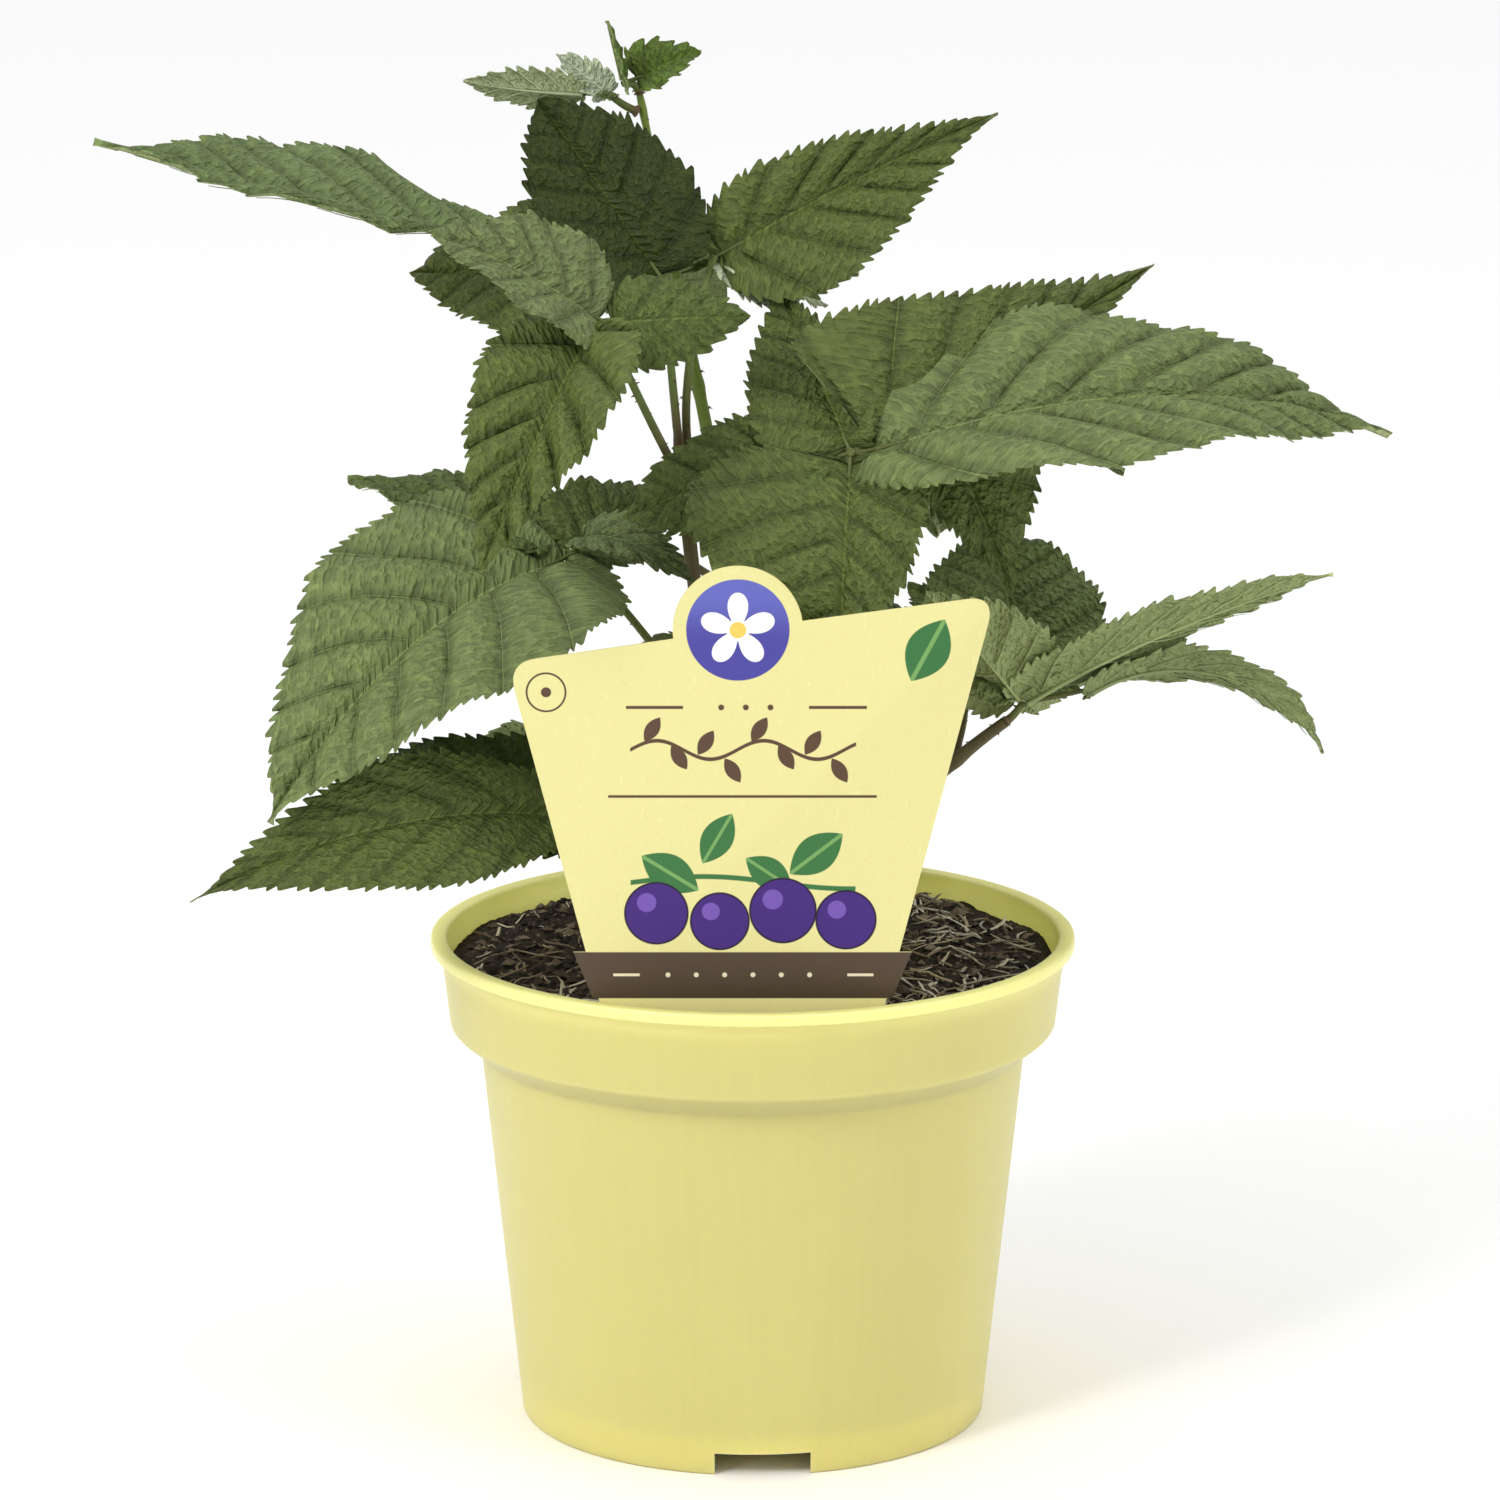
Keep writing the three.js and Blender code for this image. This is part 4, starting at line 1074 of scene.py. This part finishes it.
def make_card(card):
    """The card cut to its outline, with a bevelled edge and its print."""
    y = CARD["plane"] - CARD["thick"] / 2
    piece = outline_object("picture_card_print", [(x, y, z) for x, z in card_outline()], closed=True)
    bpy.ops.object.mode_set(mode="EDIT")
    bpy.ops.mesh.select_all(action="SELECT")
    bpy.ops.mesh.edge_face_add()
    bpy.ops.mesh.extrude_region_move(TRANSFORM_OT_translate={"value": (0, CARD["thick"] * MM, 0)})
    bpy.ops.mesh.select_all(action="SELECT")
    bpy.ops.mesh.normals_make_consistent(inside=False)
    bpy.ops.object.mode_set(mode="OBJECT")
    apply_modifier(piece, "BEVEL", width=card.edge, segments=2, limit_method="ANGLE",
                   angle_limit=math.radians(60))
    finish_piece(piece, card_finish(), 35)
    place_piece(piece, "card", "picture_card")


# Canes

# A cane's swelling at a leaf and how far it reaches, its slow wave, its edges and their height, and
# how far its foot is sunk
CANE_SHAPE = dict(node=0.22, node_reach=2.4, wave=0.03, edges=5, edge=0.055, sunk=3)


def strand(heap, points, radii, tint, sides=6, flat=1.0, up=(0, 0, 1)):
    """A thin limb through an array of points, with a radius at each of them."""
    ahead = np.gradient(points, axis=0)
    ahead /= np.linalg.norm(ahead, axis=1, keepdims=True)
    side = np.cross(ahead, np.broadcast_to(up, points.shape))
    side /= np.linalg.norm(side, axis=1, keepdims=True) + 1e-9
    tube(heap, points, ahead, side, np.cross(side, ahead) * flat, radii, tint, sides)


END, LOW, HIGH = 0.01, 0.12, 0.76  # a tube's ends, foot and height on its tile


def tube_map(rows, sides):
    """Where a tube's faces lie on their tile: its skin in the middle, its ends at the left and right."""
    i, j = np.meshgrid(np.arange(rows - 1), np.arange(sides), indexing="ij")
    u, v = END + (1 - 2 * END) * i / (rows - 1), LOW + HIGH * j / sides
    du, dv = (1 - 2 * END) / (rows - 1), HIGH / sides
    flat = [np.stack([u, v, u + du, v, u + du, v + dv, u, v + dv], axis=-1).reshape(-1, 2)]
    v = LOW + HIGH * np.arange(sides) / sides
    for x in (0.0, 1 - END):
        tip, foot = np.full(sides, x), np.full(sides, x + END)
        flat.append(np.stack([tip, v + dv / 2, foot, v, foot, v + dv], axis=-1).reshape(-1, 2))
    return np.concatenate(flat)


def tube(heap, point, ahead, side, face, radii, tint, sides=8, swell=None):
    """A closed round limb through rows of points and frames. swell gives each ring its own outline."""
    rows = len(point)
    angle = np.arange(sides) * math.tau / sides
    radius = np.asarray(radii, float)[:, None] * (np.ones(sides) if swell is None else swell(angle))
    ring = side[:, None] * np.cos(angle)[:, None] + face[:, None] * np.sin(angle)[:, None]
    points = (point[:, None] + ring * radius[..., None]).reshape(-1, 3)
    ends = [point[0] - ahead[0] * radii[0] * 0.3, point[-1] + ahead[-1] * radii[-1] * 0.5]
    tinted = np.asarray(tint, float)
    if tinted.ndim == 2:
        tinted = np.concatenate([np.repeat(tinted, sides, axis=0), tinted[:1], tinted[-1:]])
    maps = {"OFBake": on_tile(heap.tile(), tube_map(rows, sides))}
    heap.add(np.concatenate([points, ends]), ring_faces(rows, sides), tinted, maps=maps)


# A prickle has four corners at its foot, four where it bends, and its tip
THORN_FACES = [
    np.array([[0, 1, 5, 4], [1, 2, 6, 5], [2, 3, 7, 6], [3, 0, 4, 7]]),
    np.array([[4, 5, 8], [5, 6, 8], [6, 7, 8], [7, 4, 8]]),
]
THORN_MAP = np.array(
    [(0.1, 0.1), (0.9, 0.1), (0.9, 0.5), (0.1, 0.5)] * 4 + [(0.1, 0.5), (0.9, 0.5), (0.5, 0.9)] * 4)
# A prickle's width, bend and hanging tip are shares of its length, its foot's reach of its width
THORN = dict(slim=0.17, ahead=2.4, behind=1.6, bend=0.55, hang=0.45, sunk=0.85)


def thorns(heap, point, ahead, side, face, radii, tint, rng, size, below=False):
    """Small hooked prickles at the given places of a limb, which point back down it."""
    maps = {"OFBake": on_tile(heap.tile(), THORN_MAP)}
    for p, a, s, f, radius in zip(point, ahead, side, face, radii):
        angle = rng.uniform(1.15, 1.85) * math.pi if below else rng.uniform(0, math.tau)
        out = s * math.cos(angle) + f * math.sin(angle)
        across = np.cross(a, out)
        long = size * rng.uniform(0.6, 1.1) * min(1.0, radius)
        wide = long * THORN["slim"]
        foot = p + out * radius * THORN["sunk"]
        ring = [foot + a * wide * THORN["ahead"], foot + across * wide,
                foot - a * wide * THORN["behind"], foot - across * wide]
        bent = [foot + out * long * THORN["bend"] + a * wide * 0.3 + (r - foot) * 0.5 for r in ring]
        tip = foot + out * long - a * long * THORN["hang"]
        heap.add([*ring, *bent, tip], THORN_FACES, tint, maps=maps)


def toned(tone, rng=None, spread=0.08):
    """A tone's light, a little off its colour if a source of chance is given."""
    colour = np.array(linear(TONES[tone]))
    if rng is None:
        return colour
    return colour * rng.uniform(1 - spread, 1 + spread, 3) * rng.uniform(1 - spread, 1 + spread)


def make_canes(stems, rng):
    """The canes, five-edged and a little thicker where a leaf sits, and all of their prickles."""
    finish, prickles, shape = stalk_finish("Cane skin", 0.5), Heap("OFBake"), CANE_SHAPE
    for name, c in CANES.items():
        heap = Heap("OFBake")
        rows = max(30, round(c["length"] / stems.step / 1000))
        share = np.linspace(0, 1, rows + 1)
        point, ahead, side, face = cane_way(name).at(share)
        radii = cane_radius(name, share)
        nodes = [leaf["share"] for leaf in LEAVES.values() if leaf["cane"] == name and leaf["share"] < 1]
        for node in nodes:
            away = (share - node) * c["length"]
            radii = radii * (1 + shape["node"] * np.exp(-(away / shape["node_reach"]) ** 2))
        radii = radii * (1 + shape["wave"] * np.sin(share * 23 + 1))
        point[0] -= ahead[0] * shape["sunk"]

        def edges(angle):
            return 1 + shape["edge"] * np.cos(shape["edges"] * angle[None, :] + share[:, None] * 2)

        shade = rng.uniform(0.92, 1.08, (rows + 1, 1)) * (0.86 + 0.2 * share[:, None])
        blend = smooth_step(share, 0.0, 0.3)[:, None]
        tint = (toned("brown_cane") * (1 - blend) + toned(c["tone"]) * blend) * shade
        tube(heap, point, ahead, side, face, radii, tint, 20, edges)
        place_piece(heap.piece(f"{name}_skin", finish, 50), "cane", name)
        spots = np.sort(rng.uniform(0.03, 0.97, round(c["length"] * stems.prickles / 100)))
        tint = (toned("ruddy") + toned(c["tone"])) / 2
        thorns(prickles, *cane_way(name).at(spots), cane_radius(name, spots), tint, rng, 1.5)
    place_piece(prickles.piece("cane_prickles", finish, 40), "cane")


# Leaves

FIRST = 0.004  # where a blade's edge starts, for t from base to tip
VEIN_START = 2.5  # the higher, the more a side vein leans towards the tip
STAGGER = 0.2  # how far the side veins of one side sit off those of the other
WRINKLE = 8.6  # length along a side vein that the wrinkle pattern counts as one
SKIN = 0.1  # how far a blade's upper skin lies under its plain folded shape

# A blade's waves along its edges, the arch of its halves and the groove over its midrib
WAVE, WAVES, ARCH = 0.03, 17, 0.1
GROOVE, GROOVE_WIDTH = 0.5, 0.9

# Columns of points on half a blade, from its midrib to its edge
COLUMNS = (0.04, 0.1, 0.18, 0.26, 0.34, 0.42, 0.5, 0.58, 0.66, 0.74, 0.82, 0.89, 0.95, 1)

# A tooth's outline as shares of its room and height, and how much of it lies within the plain edge.
# Every third tooth is a big one.
TOOTH, TOOTH_SUNK = ((0, 0), (0.36, 0.5), (0.68, 0.95), (0.86, 0.9)), 0.35
BIG_TOOTH = dict(every=3, wider=1.25, higher=1.4)

# Where limbs have which radius, in shares of their length and in millimetres
STALK_RADII = (0, 0.04, 0.12, 0.9, 1), (1.75, 1.5, 1.15, 0.95, 1.2)
LEAFLET_STALK_RADII = (0, 0.3, 1), (0.85, 0.65, 0.5)
RIB_RADII = (0, 0.1, 0.9), (0.6, 0.5, 0.1)
VEIN_RADII = 0.26, 0.1


def margin(t, leaf):
    """How far along the midrib and how far out a blade's edge lies, for t from base to tip."""
    def spread(share):
        return share ** leaf["base"] * (1 - share) ** leaf["tip"]
    widest = leaf["base"] / (leaf["base"] + leaf["tip"])
    along = t ** 1.25 - 2.2 * leaf["lobe"] * np.sin(np.pi * np.sqrt(t)) * (1 - t) ** 3
    return along, spread(t) / spread(widest)


class Blade:
    """One leaflet: a toothed outline, side veins that run out to it and pleats between them."""

    def __init__(self, leaf, hub, look, rng):
        self.leaf, self.look, self.rng = leaf, look, rng
        self.long, self.wide, self.thick = leaf["length"], leaf["width"], look.thickness / MM
        self.start = hub + direction(leaf["heading"], leaf["climb"]) * leaf["stalk"]
        shape = [leaf[key] for key in ("heading", "rise", "length", "roll", "droop", "sway")]
        self.way = midrib(self.start, *shape)
        self.veins = round(4.5 + self.long / (look.vein_gap / MM))
        self.gap = self.long / self.veins
        self.phase = rng.uniform(0, math.tau)

    def half_width(self, sign):
        return self.wide / 2 * (1 + self.leaf["skew"] * sign)

    def order(self, t):
        """A number that grows by one from each side vein to the next, for t along the edge."""
        return self.veins * t ** VEIN_START + 0.5 - np.exp(-t / 0.1)

    def spot(self, t, v, sign):
        """How far along the midrib and how far out a point lies, v of the way to the edge at t."""
        along, out = margin(np.clip(t, FIRST, 1), self.leaf)
        root = t ** VEIN_START
        x = (root + (along - root) * v ** 1.25) * self.long
        return x, np.maximum(v * out * self.half_width(sign), 0.12 * v)

    def lift(self, order, x, d, v, sign):
        """Height of the blade over its plain folded shape."""
        crests = np.abs(np.sin(np.pi * order)) ** 0.75 - 0.55
        pleat = self.look.pleat * self.leaf["pleat"] * self.gap * crests
        pleat = pleat * smooth_step(d, 0.2, 3.5) * (1 - 0.4 * v ** 4)
        wave = WAVE * self.wide * v ** 2 * np.sin(x / self.long * WAVES + self.phase + sign)
        arch = ARCH * self.wide * v * (1 - v)
        groove = -GROOVE * np.exp(-(d / GROOVE_WIDTH) ** 2) * (1 - x / self.long * 0.6)
        return pleat + wave + arch + groove

    def surface(self, x, d, sign, lift):
        """Points of the blade at x along its midrib and d out to one side, raised by a lift."""
        share = x / self.long
        point, ahead, side, face = self.way.at(share)
        lean = math.radians(self.leaf["fold"])
        beyond = np.minimum(share, 0)[..., None] * ahead * self.long
        out = (d * sign * math.cos(lean))[..., None] * side
        return point + beyond + out + (d * math.sin(lean) + lift)[..., None] * face

    def rows(self, sign, teeth):
        """t and tooth height at every row of one side of the blade."""
        dense = np.linspace(FIRST, 1, 500)
        along, out = margin(dense, self.leaf)
        far = np.hypot(np.diff(along) * self.long, np.diff(out) * self.half_width(sign))
        far = np.concatenate([[0], far.cumsum()])
        widths = self.rng.uniform(0.6, 1.4, teeth)
        big = np.arange(teeth) % BIG_TOOTH["every"] == self.rng.integers(BIG_TOOTH["every"])
        widths[big] *= BIG_TOOTH["wider"]
        starts = np.concatenate([[0], widths.cumsum()]) / widths.sum()
        sizes = self.look.tooth / MM * self.rng.uniform(0.55, 1.3, teeth)
        sizes = sizes * np.where(big, BIG_TOOTH["higher"], 1)
        places, heights = [], []
        for k in range(teeth):
            for share, height in TOOTH:
                places.append(starts[k] + (starts[k + 1] - starts[k]) * share)
                heights.append(sizes[k] * (height - TOOTH_SUNK))
        t = np.interp(np.array([*places, 1]) * far[-1], far, dense)
        return t, np.array([*heights, 0])

    def grid(self):
        """x, d, v, order, side and column of every point: a row for each place along the edge."""
        along, out = margin(np.linspace(FIRST, 1, 200), self.leaf)
        around = np.hypot(np.diff(along) * self.long, np.diff(out) * self.wide / 2).sum()
        teeth = max(5, round(around / (self.look.tooth_gap / MM)))
        sides = {sign: self.rows(sign, teeth) for sign in (-1, 1)}
        middle = (sides[-1][0] + sides[1][0]) / 2
        half = np.array(COLUMNS)
        found = []
        for column in np.concatenate([-half[::-1], [0], half]):
            sign, v = 1 if column >= 0 else -1, abs(column)
            edge, tooth = sides[sign]
            t = middle + (edge - middle) * v ** 2
            x, d = self.spot(t, v, sign)
            dx, dd = np.gradient(x), np.gradient(d)
            size = np.hypot(dx, dd) + 1e-9
            grow = tooth * np.clip(d / 5, 0.15, 1) * v ** 8
            grow = grow * smooth_step(t, 0.01, 0.08) * smooth_step(1 - t, 0, 0.12)
            order = self.order(t) + STAGGER * sign * min(v / 0.1, 1)
            x = x + grow * (0.45 * dx - dd) / size
            d = np.maximum(d + grow * (0.45 * dd + dx) / size, 0.05 * v)
            found.append(np.broadcast_arrays(x, d, v, order, sign, column))
        return np.moveaxis(np.array(found), 0, -1)

    def build(self, heap, tint):
        """The two skins of the blade and the rim between them."""
        x, d, v, order, sign, column = self.grid()
        raised = self.lift(order, x, d, v, sign) - SKIN
        top = self.surface(x, d, sign, raised).reshape(-1, 3)
        low = self.surface(x, d, sign, raised - self.thick).reshape(-1, 3)
        rows, wide = x.shape
        count = rows * wide
        i, j = np.meshgrid(np.arange(rows - 1), np.arange(wide - 1), indexing="ij")
        a = i * wide + j
        upper = np.stack([a, a + 1, a + wide + 1, a + wide], axis=-1).reshape(-1, 4)
        lower = upper[:, ::-1]
        ring = np.concatenate([
            np.arange(wide - 1), np.arange(rows - 1) * wide + wide - 1,
            (rows - 1) * wide + np.arange(wide - 1, 0, -1), np.arange(rows - 1, 0, -1) * wide])
        after = np.roll(ring, -1)
        edge = np.stack([after, ring, ring + count, after + count], axis=-1)
        place = np.stack([sign * d, v], axis=-1).reshape(-1, 2)
        lines = np.stack([order, (0.77 * d + 0.64 * x) / WRINKLE], axis=-1).reshape(-1, 2)
        share = np.arange(rows)[:, None] / (rows - 1) * np.ones(wide)
        flat = np.stack([0.02 + 0.96 * share, 0.5 + 0.46 * column], axis=-1).reshape(-1, 2)
        beyond = flat + (flat - 0.5) * 0.03
        rim = np.stack([flat[after], flat[ring], beyond[ring], beyond[after]], axis=1).reshape(-1, 2)
        upper_tile, lower_tile = heap.tile(), heap.tile()
        tiled = [on_tile(upper_tile, flat[upper.ravel()]), on_tile(lower_tile, flat[lower.ravel()]),
                 on_tile(upper_tile, rim)]
        rim_corners = np.stack([after, ring, ring, after], axis=1).ravel()
        corners = np.concatenate([upper.ravel(), lower.ravel(), rim_corners])
        maps = {"Veins": lines[corners], "Blade": place[corners], "OFBake": np.concatenate(tiled)}
        under = np.repeat([0.0, 1.0], count)
        heap.add(np.concatenate([top, low]), [upper, lower + count, edge], tint, under, maps)

    def ribs(self, heap, tint):
        """The raised midrib and side veins under the blade."""
        share = np.linspace(0.0, 0.9, 26)
        zero = np.zeros_like(share)
        lift = self.lift(zero, share * self.long, zero, zero, 1) - self.thick - SKIN
        point, ahead, side, face = self.way.at(share)
        radii = np.interp(share, *RIB_RADII) * min(1.2, 0.5 + self.long / 110)
        tube(heap, point + (lift - radii * 0.45)[:, None] * face, ahead, side, face, radii, tint, 8)
        dense = np.linspace(FIRST, 1, 300)
        v = np.linspace(0.1, 0.95, 11)
        for sign in (-1, 1):
            for number in range(self.veins):
                t = np.interp(number - STAGGER * sign, self.order(dense), dense)
                x, d = self.spot(np.full(len(v), t), v, sign)
                if d[-1] < 2:
                    continue
                lift = self.lift(np.full(len(v), float(number)), x, d, v, sign)
                points = self.surface(x, d, np.full(len(v), sign), lift - self.thick - VEIN_RADII[0])
                up = self.way.at(x / self.long)[3].mean(axis=0)
                strand(heap, points, np.linspace(*VEIN_RADII, len(v)), tint, 4, up=up)

    def stalk(self, heap, hub, tint):
        """The leaflet's short stalk, from the hub into the midrib's foot."""
        ahead = direction(self.leaf["heading"], self.leaf["climb"])
        sunk = self.way.at(0.07)
        under = Vector(sunk[0] - sunk[3] * 0.5)
        way = bow(hub - ahead * 1.2, self.start, under)
        share = np.linspace(0, 1, 9)
        tube(heap, *way.at(share), np.interp(share, *LEAFLET_STALK_RADII), tint, 8)
        count = round(self.leaf["stalk"] / 5)
        if count:
            spots = self.rng.uniform(0.15, 0.9, count)
            thorns(heap, *way.at(spots), np.full(count, 0.8), tint, self.rng, 1.0, below=True)


def make_leaf(name, look, rng, blade_finish, stem_finish):
    """One compound leaf: its blades in one piece, its stalks and ribs in another."""
    leaf = LEAVES[name]
    hub, way = Vector(leaf["hub"]), stalk_way(leaf)
    blades, stems = Heap("Veins", "Blade", "OFBake", shape=1.6), Heap("OFBake")
    share = np.linspace(0, 1, 26)
    green, ruddy = toned("petiole", rng), toned("ruddy", rng)
    blend = smooth_step(share, 0.0, 0.5)[:, None]
    tube(stems, *way.at(share), np.interp(share, *STALK_RADII), ruddy * (1 - blend) + green * blend, 10)
    far = (hub - Vector(way.rows[0][0])).length
    spots = rng.uniform(0.08, 0.94, max(1, round(far * look.prickles / 100)))
    thorns(stems, *way.at(spots), np.full(len(spots), 1.05), ruddy, rng, 1.3)
    for row in leaf["leaflets"]:
        blade = Blade(row, hub, look, rng)
        tint = toned(row["tone"], rng, 0.04)
        blade.build(blades, tint)
        blade.ribs(stems, (np.array(linear(UNDERSIDE)) + tint) / 2)
        blade.stalk(stems, hub, green * 0.7)
    place_piece(blades.piece(f"{name}_blades", blade_finish, 55), "leaf", name)
    place_piece(stems.piece(f"{name}_stalks", stem_finish, 50), "cane")


# Stage

# Each softbox: its place, what it is aimed at, its size in metres and the setting of its power
LIGHTS = {
    "Wide softbox overhead": ((0, 2.4, 5), (0, 2.4, 0), (13, 13), "over"),
    "Key softbox": ((-1.3, -1.5, 1.7), (0, 0, 0.22), (0.7, 0.7), "key"),
    "Strip at the left": ((-0.85, -1.05, 0.35), (0, 0, 0.1), (0.07, 1.1), "strip"),
    "Fill at the right": ((1.7, -0.9, 0.8), (0, 0, 0.2), (0.9, 1.2), "fill"),
}
FLOOR_SIZE = 16
CAMERA = dict(place=(-0.75, -1750, 582.3), down=12.97, sensor=36, lens=164.18)


def area_light(name, place, aim, size, power):
    bpy.ops.object.light_add(type="AREA", location=place)
    lamp = bpy.context.object
    lamp.name = name
    lamp.data.shape = "RECTANGLE"
    lamp.data.size, lamp.data.size_y = size
    lamp.data.energy = power
    lamp.rotation_euler = (Vector(aim) - Vector(place)).to_track_quat("-Z", "Y").to_euler()


def make_stage(light):
    """The floor, the even light around, the softboxes and the camera that looks slightly down."""
    bpy.ops.mesh.primitive_plane_add(size=FLOOR_SIZE)
    floor = bpy.context.object
    floor.name = "studio_floor"
    floor.data.materials.append(floor_finish(light.floor))
    world = bpy.data.worlds.new("Studio")
    world.use_nodes = True
    background = world.node_tree.nodes["Background"]
    background.inputs["Color"].default_value = (*light.floor, 1)
    background.inputs["Strength"].default_value = light.around
    bpy.context.scene.world = world
    for name, (place, aim, size, power) in LIGHTS.items():
        area_light(name, place, aim, size, getattr(light, power))
    bpy.ops.object.camera_add(location=[value * MM for value in CAMERA["place"]])
    camera = bpy.context.object
    camera.rotation_euler = (math.radians(90 - CAMERA["down"]), 0, 0)
    camera.data.sensor_width, camera.data.lens = CAMERA["sensor"], CAMERA["lens"]
    camera.data.clip_start, camera.data.clip_end = 0.1, 50
    bpy.context.scene.camera = camera
    bpy.context.scene.view_settings.view_transform = "Standard"


# Settings


def length(name, description, millimetres):
    return FloatProperty(name=name, description=description, default=millimetres * MM, min=0, unit="LENGTH")


def amount(name, description, default, least=0.0):
    return FloatProperty(name=name, description=description, default=default, min=least)


def number(name, description, default, least=1):
    return IntProperty(name=name, description=description, default=default, min=least)


def colour(name, description, default):
    return FloatVectorProperty(
        name=name, description=description, default=default, subtype="COLOR", min=0, max=1)


class BRAMBLE_PG_pot(PropertyGroup):
    wall: length("Wall", "Thickness of the pot's wall", POT["wall"])
    rounding: length("Rounding", "Radius of the pot's rounded edges", 0.7)
    sides: number("Sides", "Steps round the turned pot", 144, 24)
    colour: colour("Body colour", "Colour of the plastic", linear((232, 216, 127)))
    # Painted light: the paler colour of the rim and of the inner wall near the top
    rim_colour: colour("Rim colour", "Colour of the plastic at the lit rim", linear((255, 246, 158)))


class BRAMBLE_PG_soil(PropertyGroup):
    rings: number("Rings", "Rings of the peat's top", 110, 20)
    crumbs: number("Crumbs", "How many loose crumbs lie on the peat", 2600)
    straws: number("Straws", "How many straws lie on the peat", 640)
    seed: number("Seed", "Start of the chance in the loose bits", 5, 0)


class BRAMBLE_PG_card(PropertyGroup):
    edge: length("Edge", "Bevel of the card's edge", 0.12)


class BRAMBLE_PG_canes(PropertyGroup):
    step: length("Step", "Distance between the rings of a cane", 1.6)
    prickles: amount("Prickles", "Prickles on each 100 mm of cane", 34)
    seed: number("Seed", "Start of the chance in the prickles", 3, 0)


class BRAMBLE_PG_leaves(PropertyGroup):
    tooth: length("Tooth", "How far a common tooth stands out", 1.55)
    tooth_gap: length("Tooth gap", "Distance between the teeth", 3.5)
    vein_gap: length("Vein gap", "How much longer a blade is for each further side vein", 40)
    pleat: amount("Pleat", "Depth of the pleats as a share of the vein gap", 0.17)
    thickness: length("Thickness", "Thickness of a blade", 0.32)
    prickles: amount("Prickles", "Prickles on each 100 mm of leaf stalk", 26)
    seed: number("Seed", "Start of the chance in the leaves", 11, 0)


class BRAMBLE_PG_stage(PropertyGroup):
    floor: colour("Floor", "Colour of the floor and of the light around", (0.94, 0.94, 0.94))
    around: amount("Around", "Strength of the light from all sides", 0.4)
    over: amount("Over", "Power of the wide softbox overhead, in watts", 490)
    key: amount("Key", "Power of the key softbox, in watts", 22)
    strip: amount("Strip", "Power of the upright strip, in watts", 3.0)
    fill: amount("Fill", "Power of the right softbox, in watts", 9)


# Operators


class BrambleStep:
    bl_options = {"REGISTER", "UNDO"}


class BRAMBLE_OT_pot(BrambleStep, Operator):
    """Turn the round pot, with its collar, rim, foot slots and drain holes"""

    bl_idname = "bramble.pot"
    bl_label = "Pot"

    def execute(self, context):
        make_pot(context.scene.bramble_pot)
        return {"FINISHED"}


class BRAMBLE_OT_soil(BrambleStep, Operator):
    """Fill the pot with peat and lay crumbs and straws on it"""

    bl_idname = "bramble.soil"
    bl_label = "Soil"

    def execute(self, context):
        bed = context.scene.bramble_soil
        rng = np.random.default_rng(bed.seed)
        make_peat(bed)
        make_crumbs(bed, rng)
        make_straws(bed, rng)
        return {"FINISHED"}


class BRAMBLE_OT_card(BrambleStep, Operator):
    """Cut the picture card and print its front"""

    bl_idname = "bramble.card"
    bl_label = "Picture card"

    def execute(self, context):
        make_card(context.scene.bramble_card)
        return {"FINISHED"}


class BRAMBLE_OT_canes(BrambleStep, Operator):
    """Grow the canes with their prickles"""

    bl_idname = "bramble.canes"
    bl_label = "Canes"

    def execute(self, context):
        stems = context.scene.bramble_canes
        make_canes(stems, np.random.default_rng(stems.seed))
        return {"FINISHED"}


class BRAMBLE_OT_leaves(BrambleStep, Operator):
    """Grow the compound leaves: blades, stalks, ribs and prickles"""

    bl_idname = "bramble.leaves"
    bl_label = "Leaves"

    def execute(self, context):
        look = context.scene.bramble_leaves
        blade_finish, stem_finish = leaf_finish(), stalk_finish("Leaf stalk skin", 0.48)
        for order, name in enumerate(LEAVES):
            make_leaf(name, look, np.random.default_rng(look.seed + order), blade_finish, stem_finish)
        return {"FINISHED"}


class BRAMBLE_OT_stage(BrambleStep, Operator):
    """Set up the pale floor, the soft lights and the camera"""

    bl_idname = "bramble.stage"
    bl_label = "Stage"

    def execute(self, context):
        make_stage(context.scene.bramble_stage)
        return {"FINISHED"}


class BRAMBLE_PT_panel(Panel):
    """Lists the plant's pieces with their settings"""

    bl_idname = "BRAMBLE_PT_panel"
    bl_label = "Potted bramble"
    bl_space_type = "VIEW_3D"
    bl_region_type = "UI"
    bl_category = "Bramble"

    def draw(self, context):
        for name, group in GROUPS.items():
            box = self.layout.box()
            for key in group.__annotations__:
                box.prop(getattr(context.scene, f"bramble_{name}"), key)
            box.operator(f"bramble.{name}")


GROUPS = {
    "pot": BRAMBLE_PG_pot, "soil": BRAMBLE_PG_soil, "card": BRAMBLE_PG_card, "canes": BRAMBLE_PG_canes,
    "leaves": BRAMBLE_PG_leaves, "stage": BRAMBLE_PG_stage,
}
CLASSES = [
    *GROUPS.values(), BRAMBLE_OT_pot, BRAMBLE_OT_soil, BRAMBLE_OT_card, BRAMBLE_OT_canes, BRAMBLE_OT_leaves,
    BRAMBLE_OT_stage, BRAMBLE_PT_panel,
]


def register():
    for cls in CLASSES:
        bpy.utils.register_class(cls)
    for name, group in GROUPS.items():
        setattr(bpy.types.Scene, f"bramble_{name}", PointerProperty(type=group))


def unregister():
    for name in GROUPS:
        delattr(bpy.types.Scene, f"bramble_{name}")
    for cls in reversed(CLASSES):
        bpy.utils.unregister_class(cls)


def main():
    register()
    for name in GROUPS:
        getattr(bpy.ops.bramble, name)()


if __name__ == "__main__":
    main()
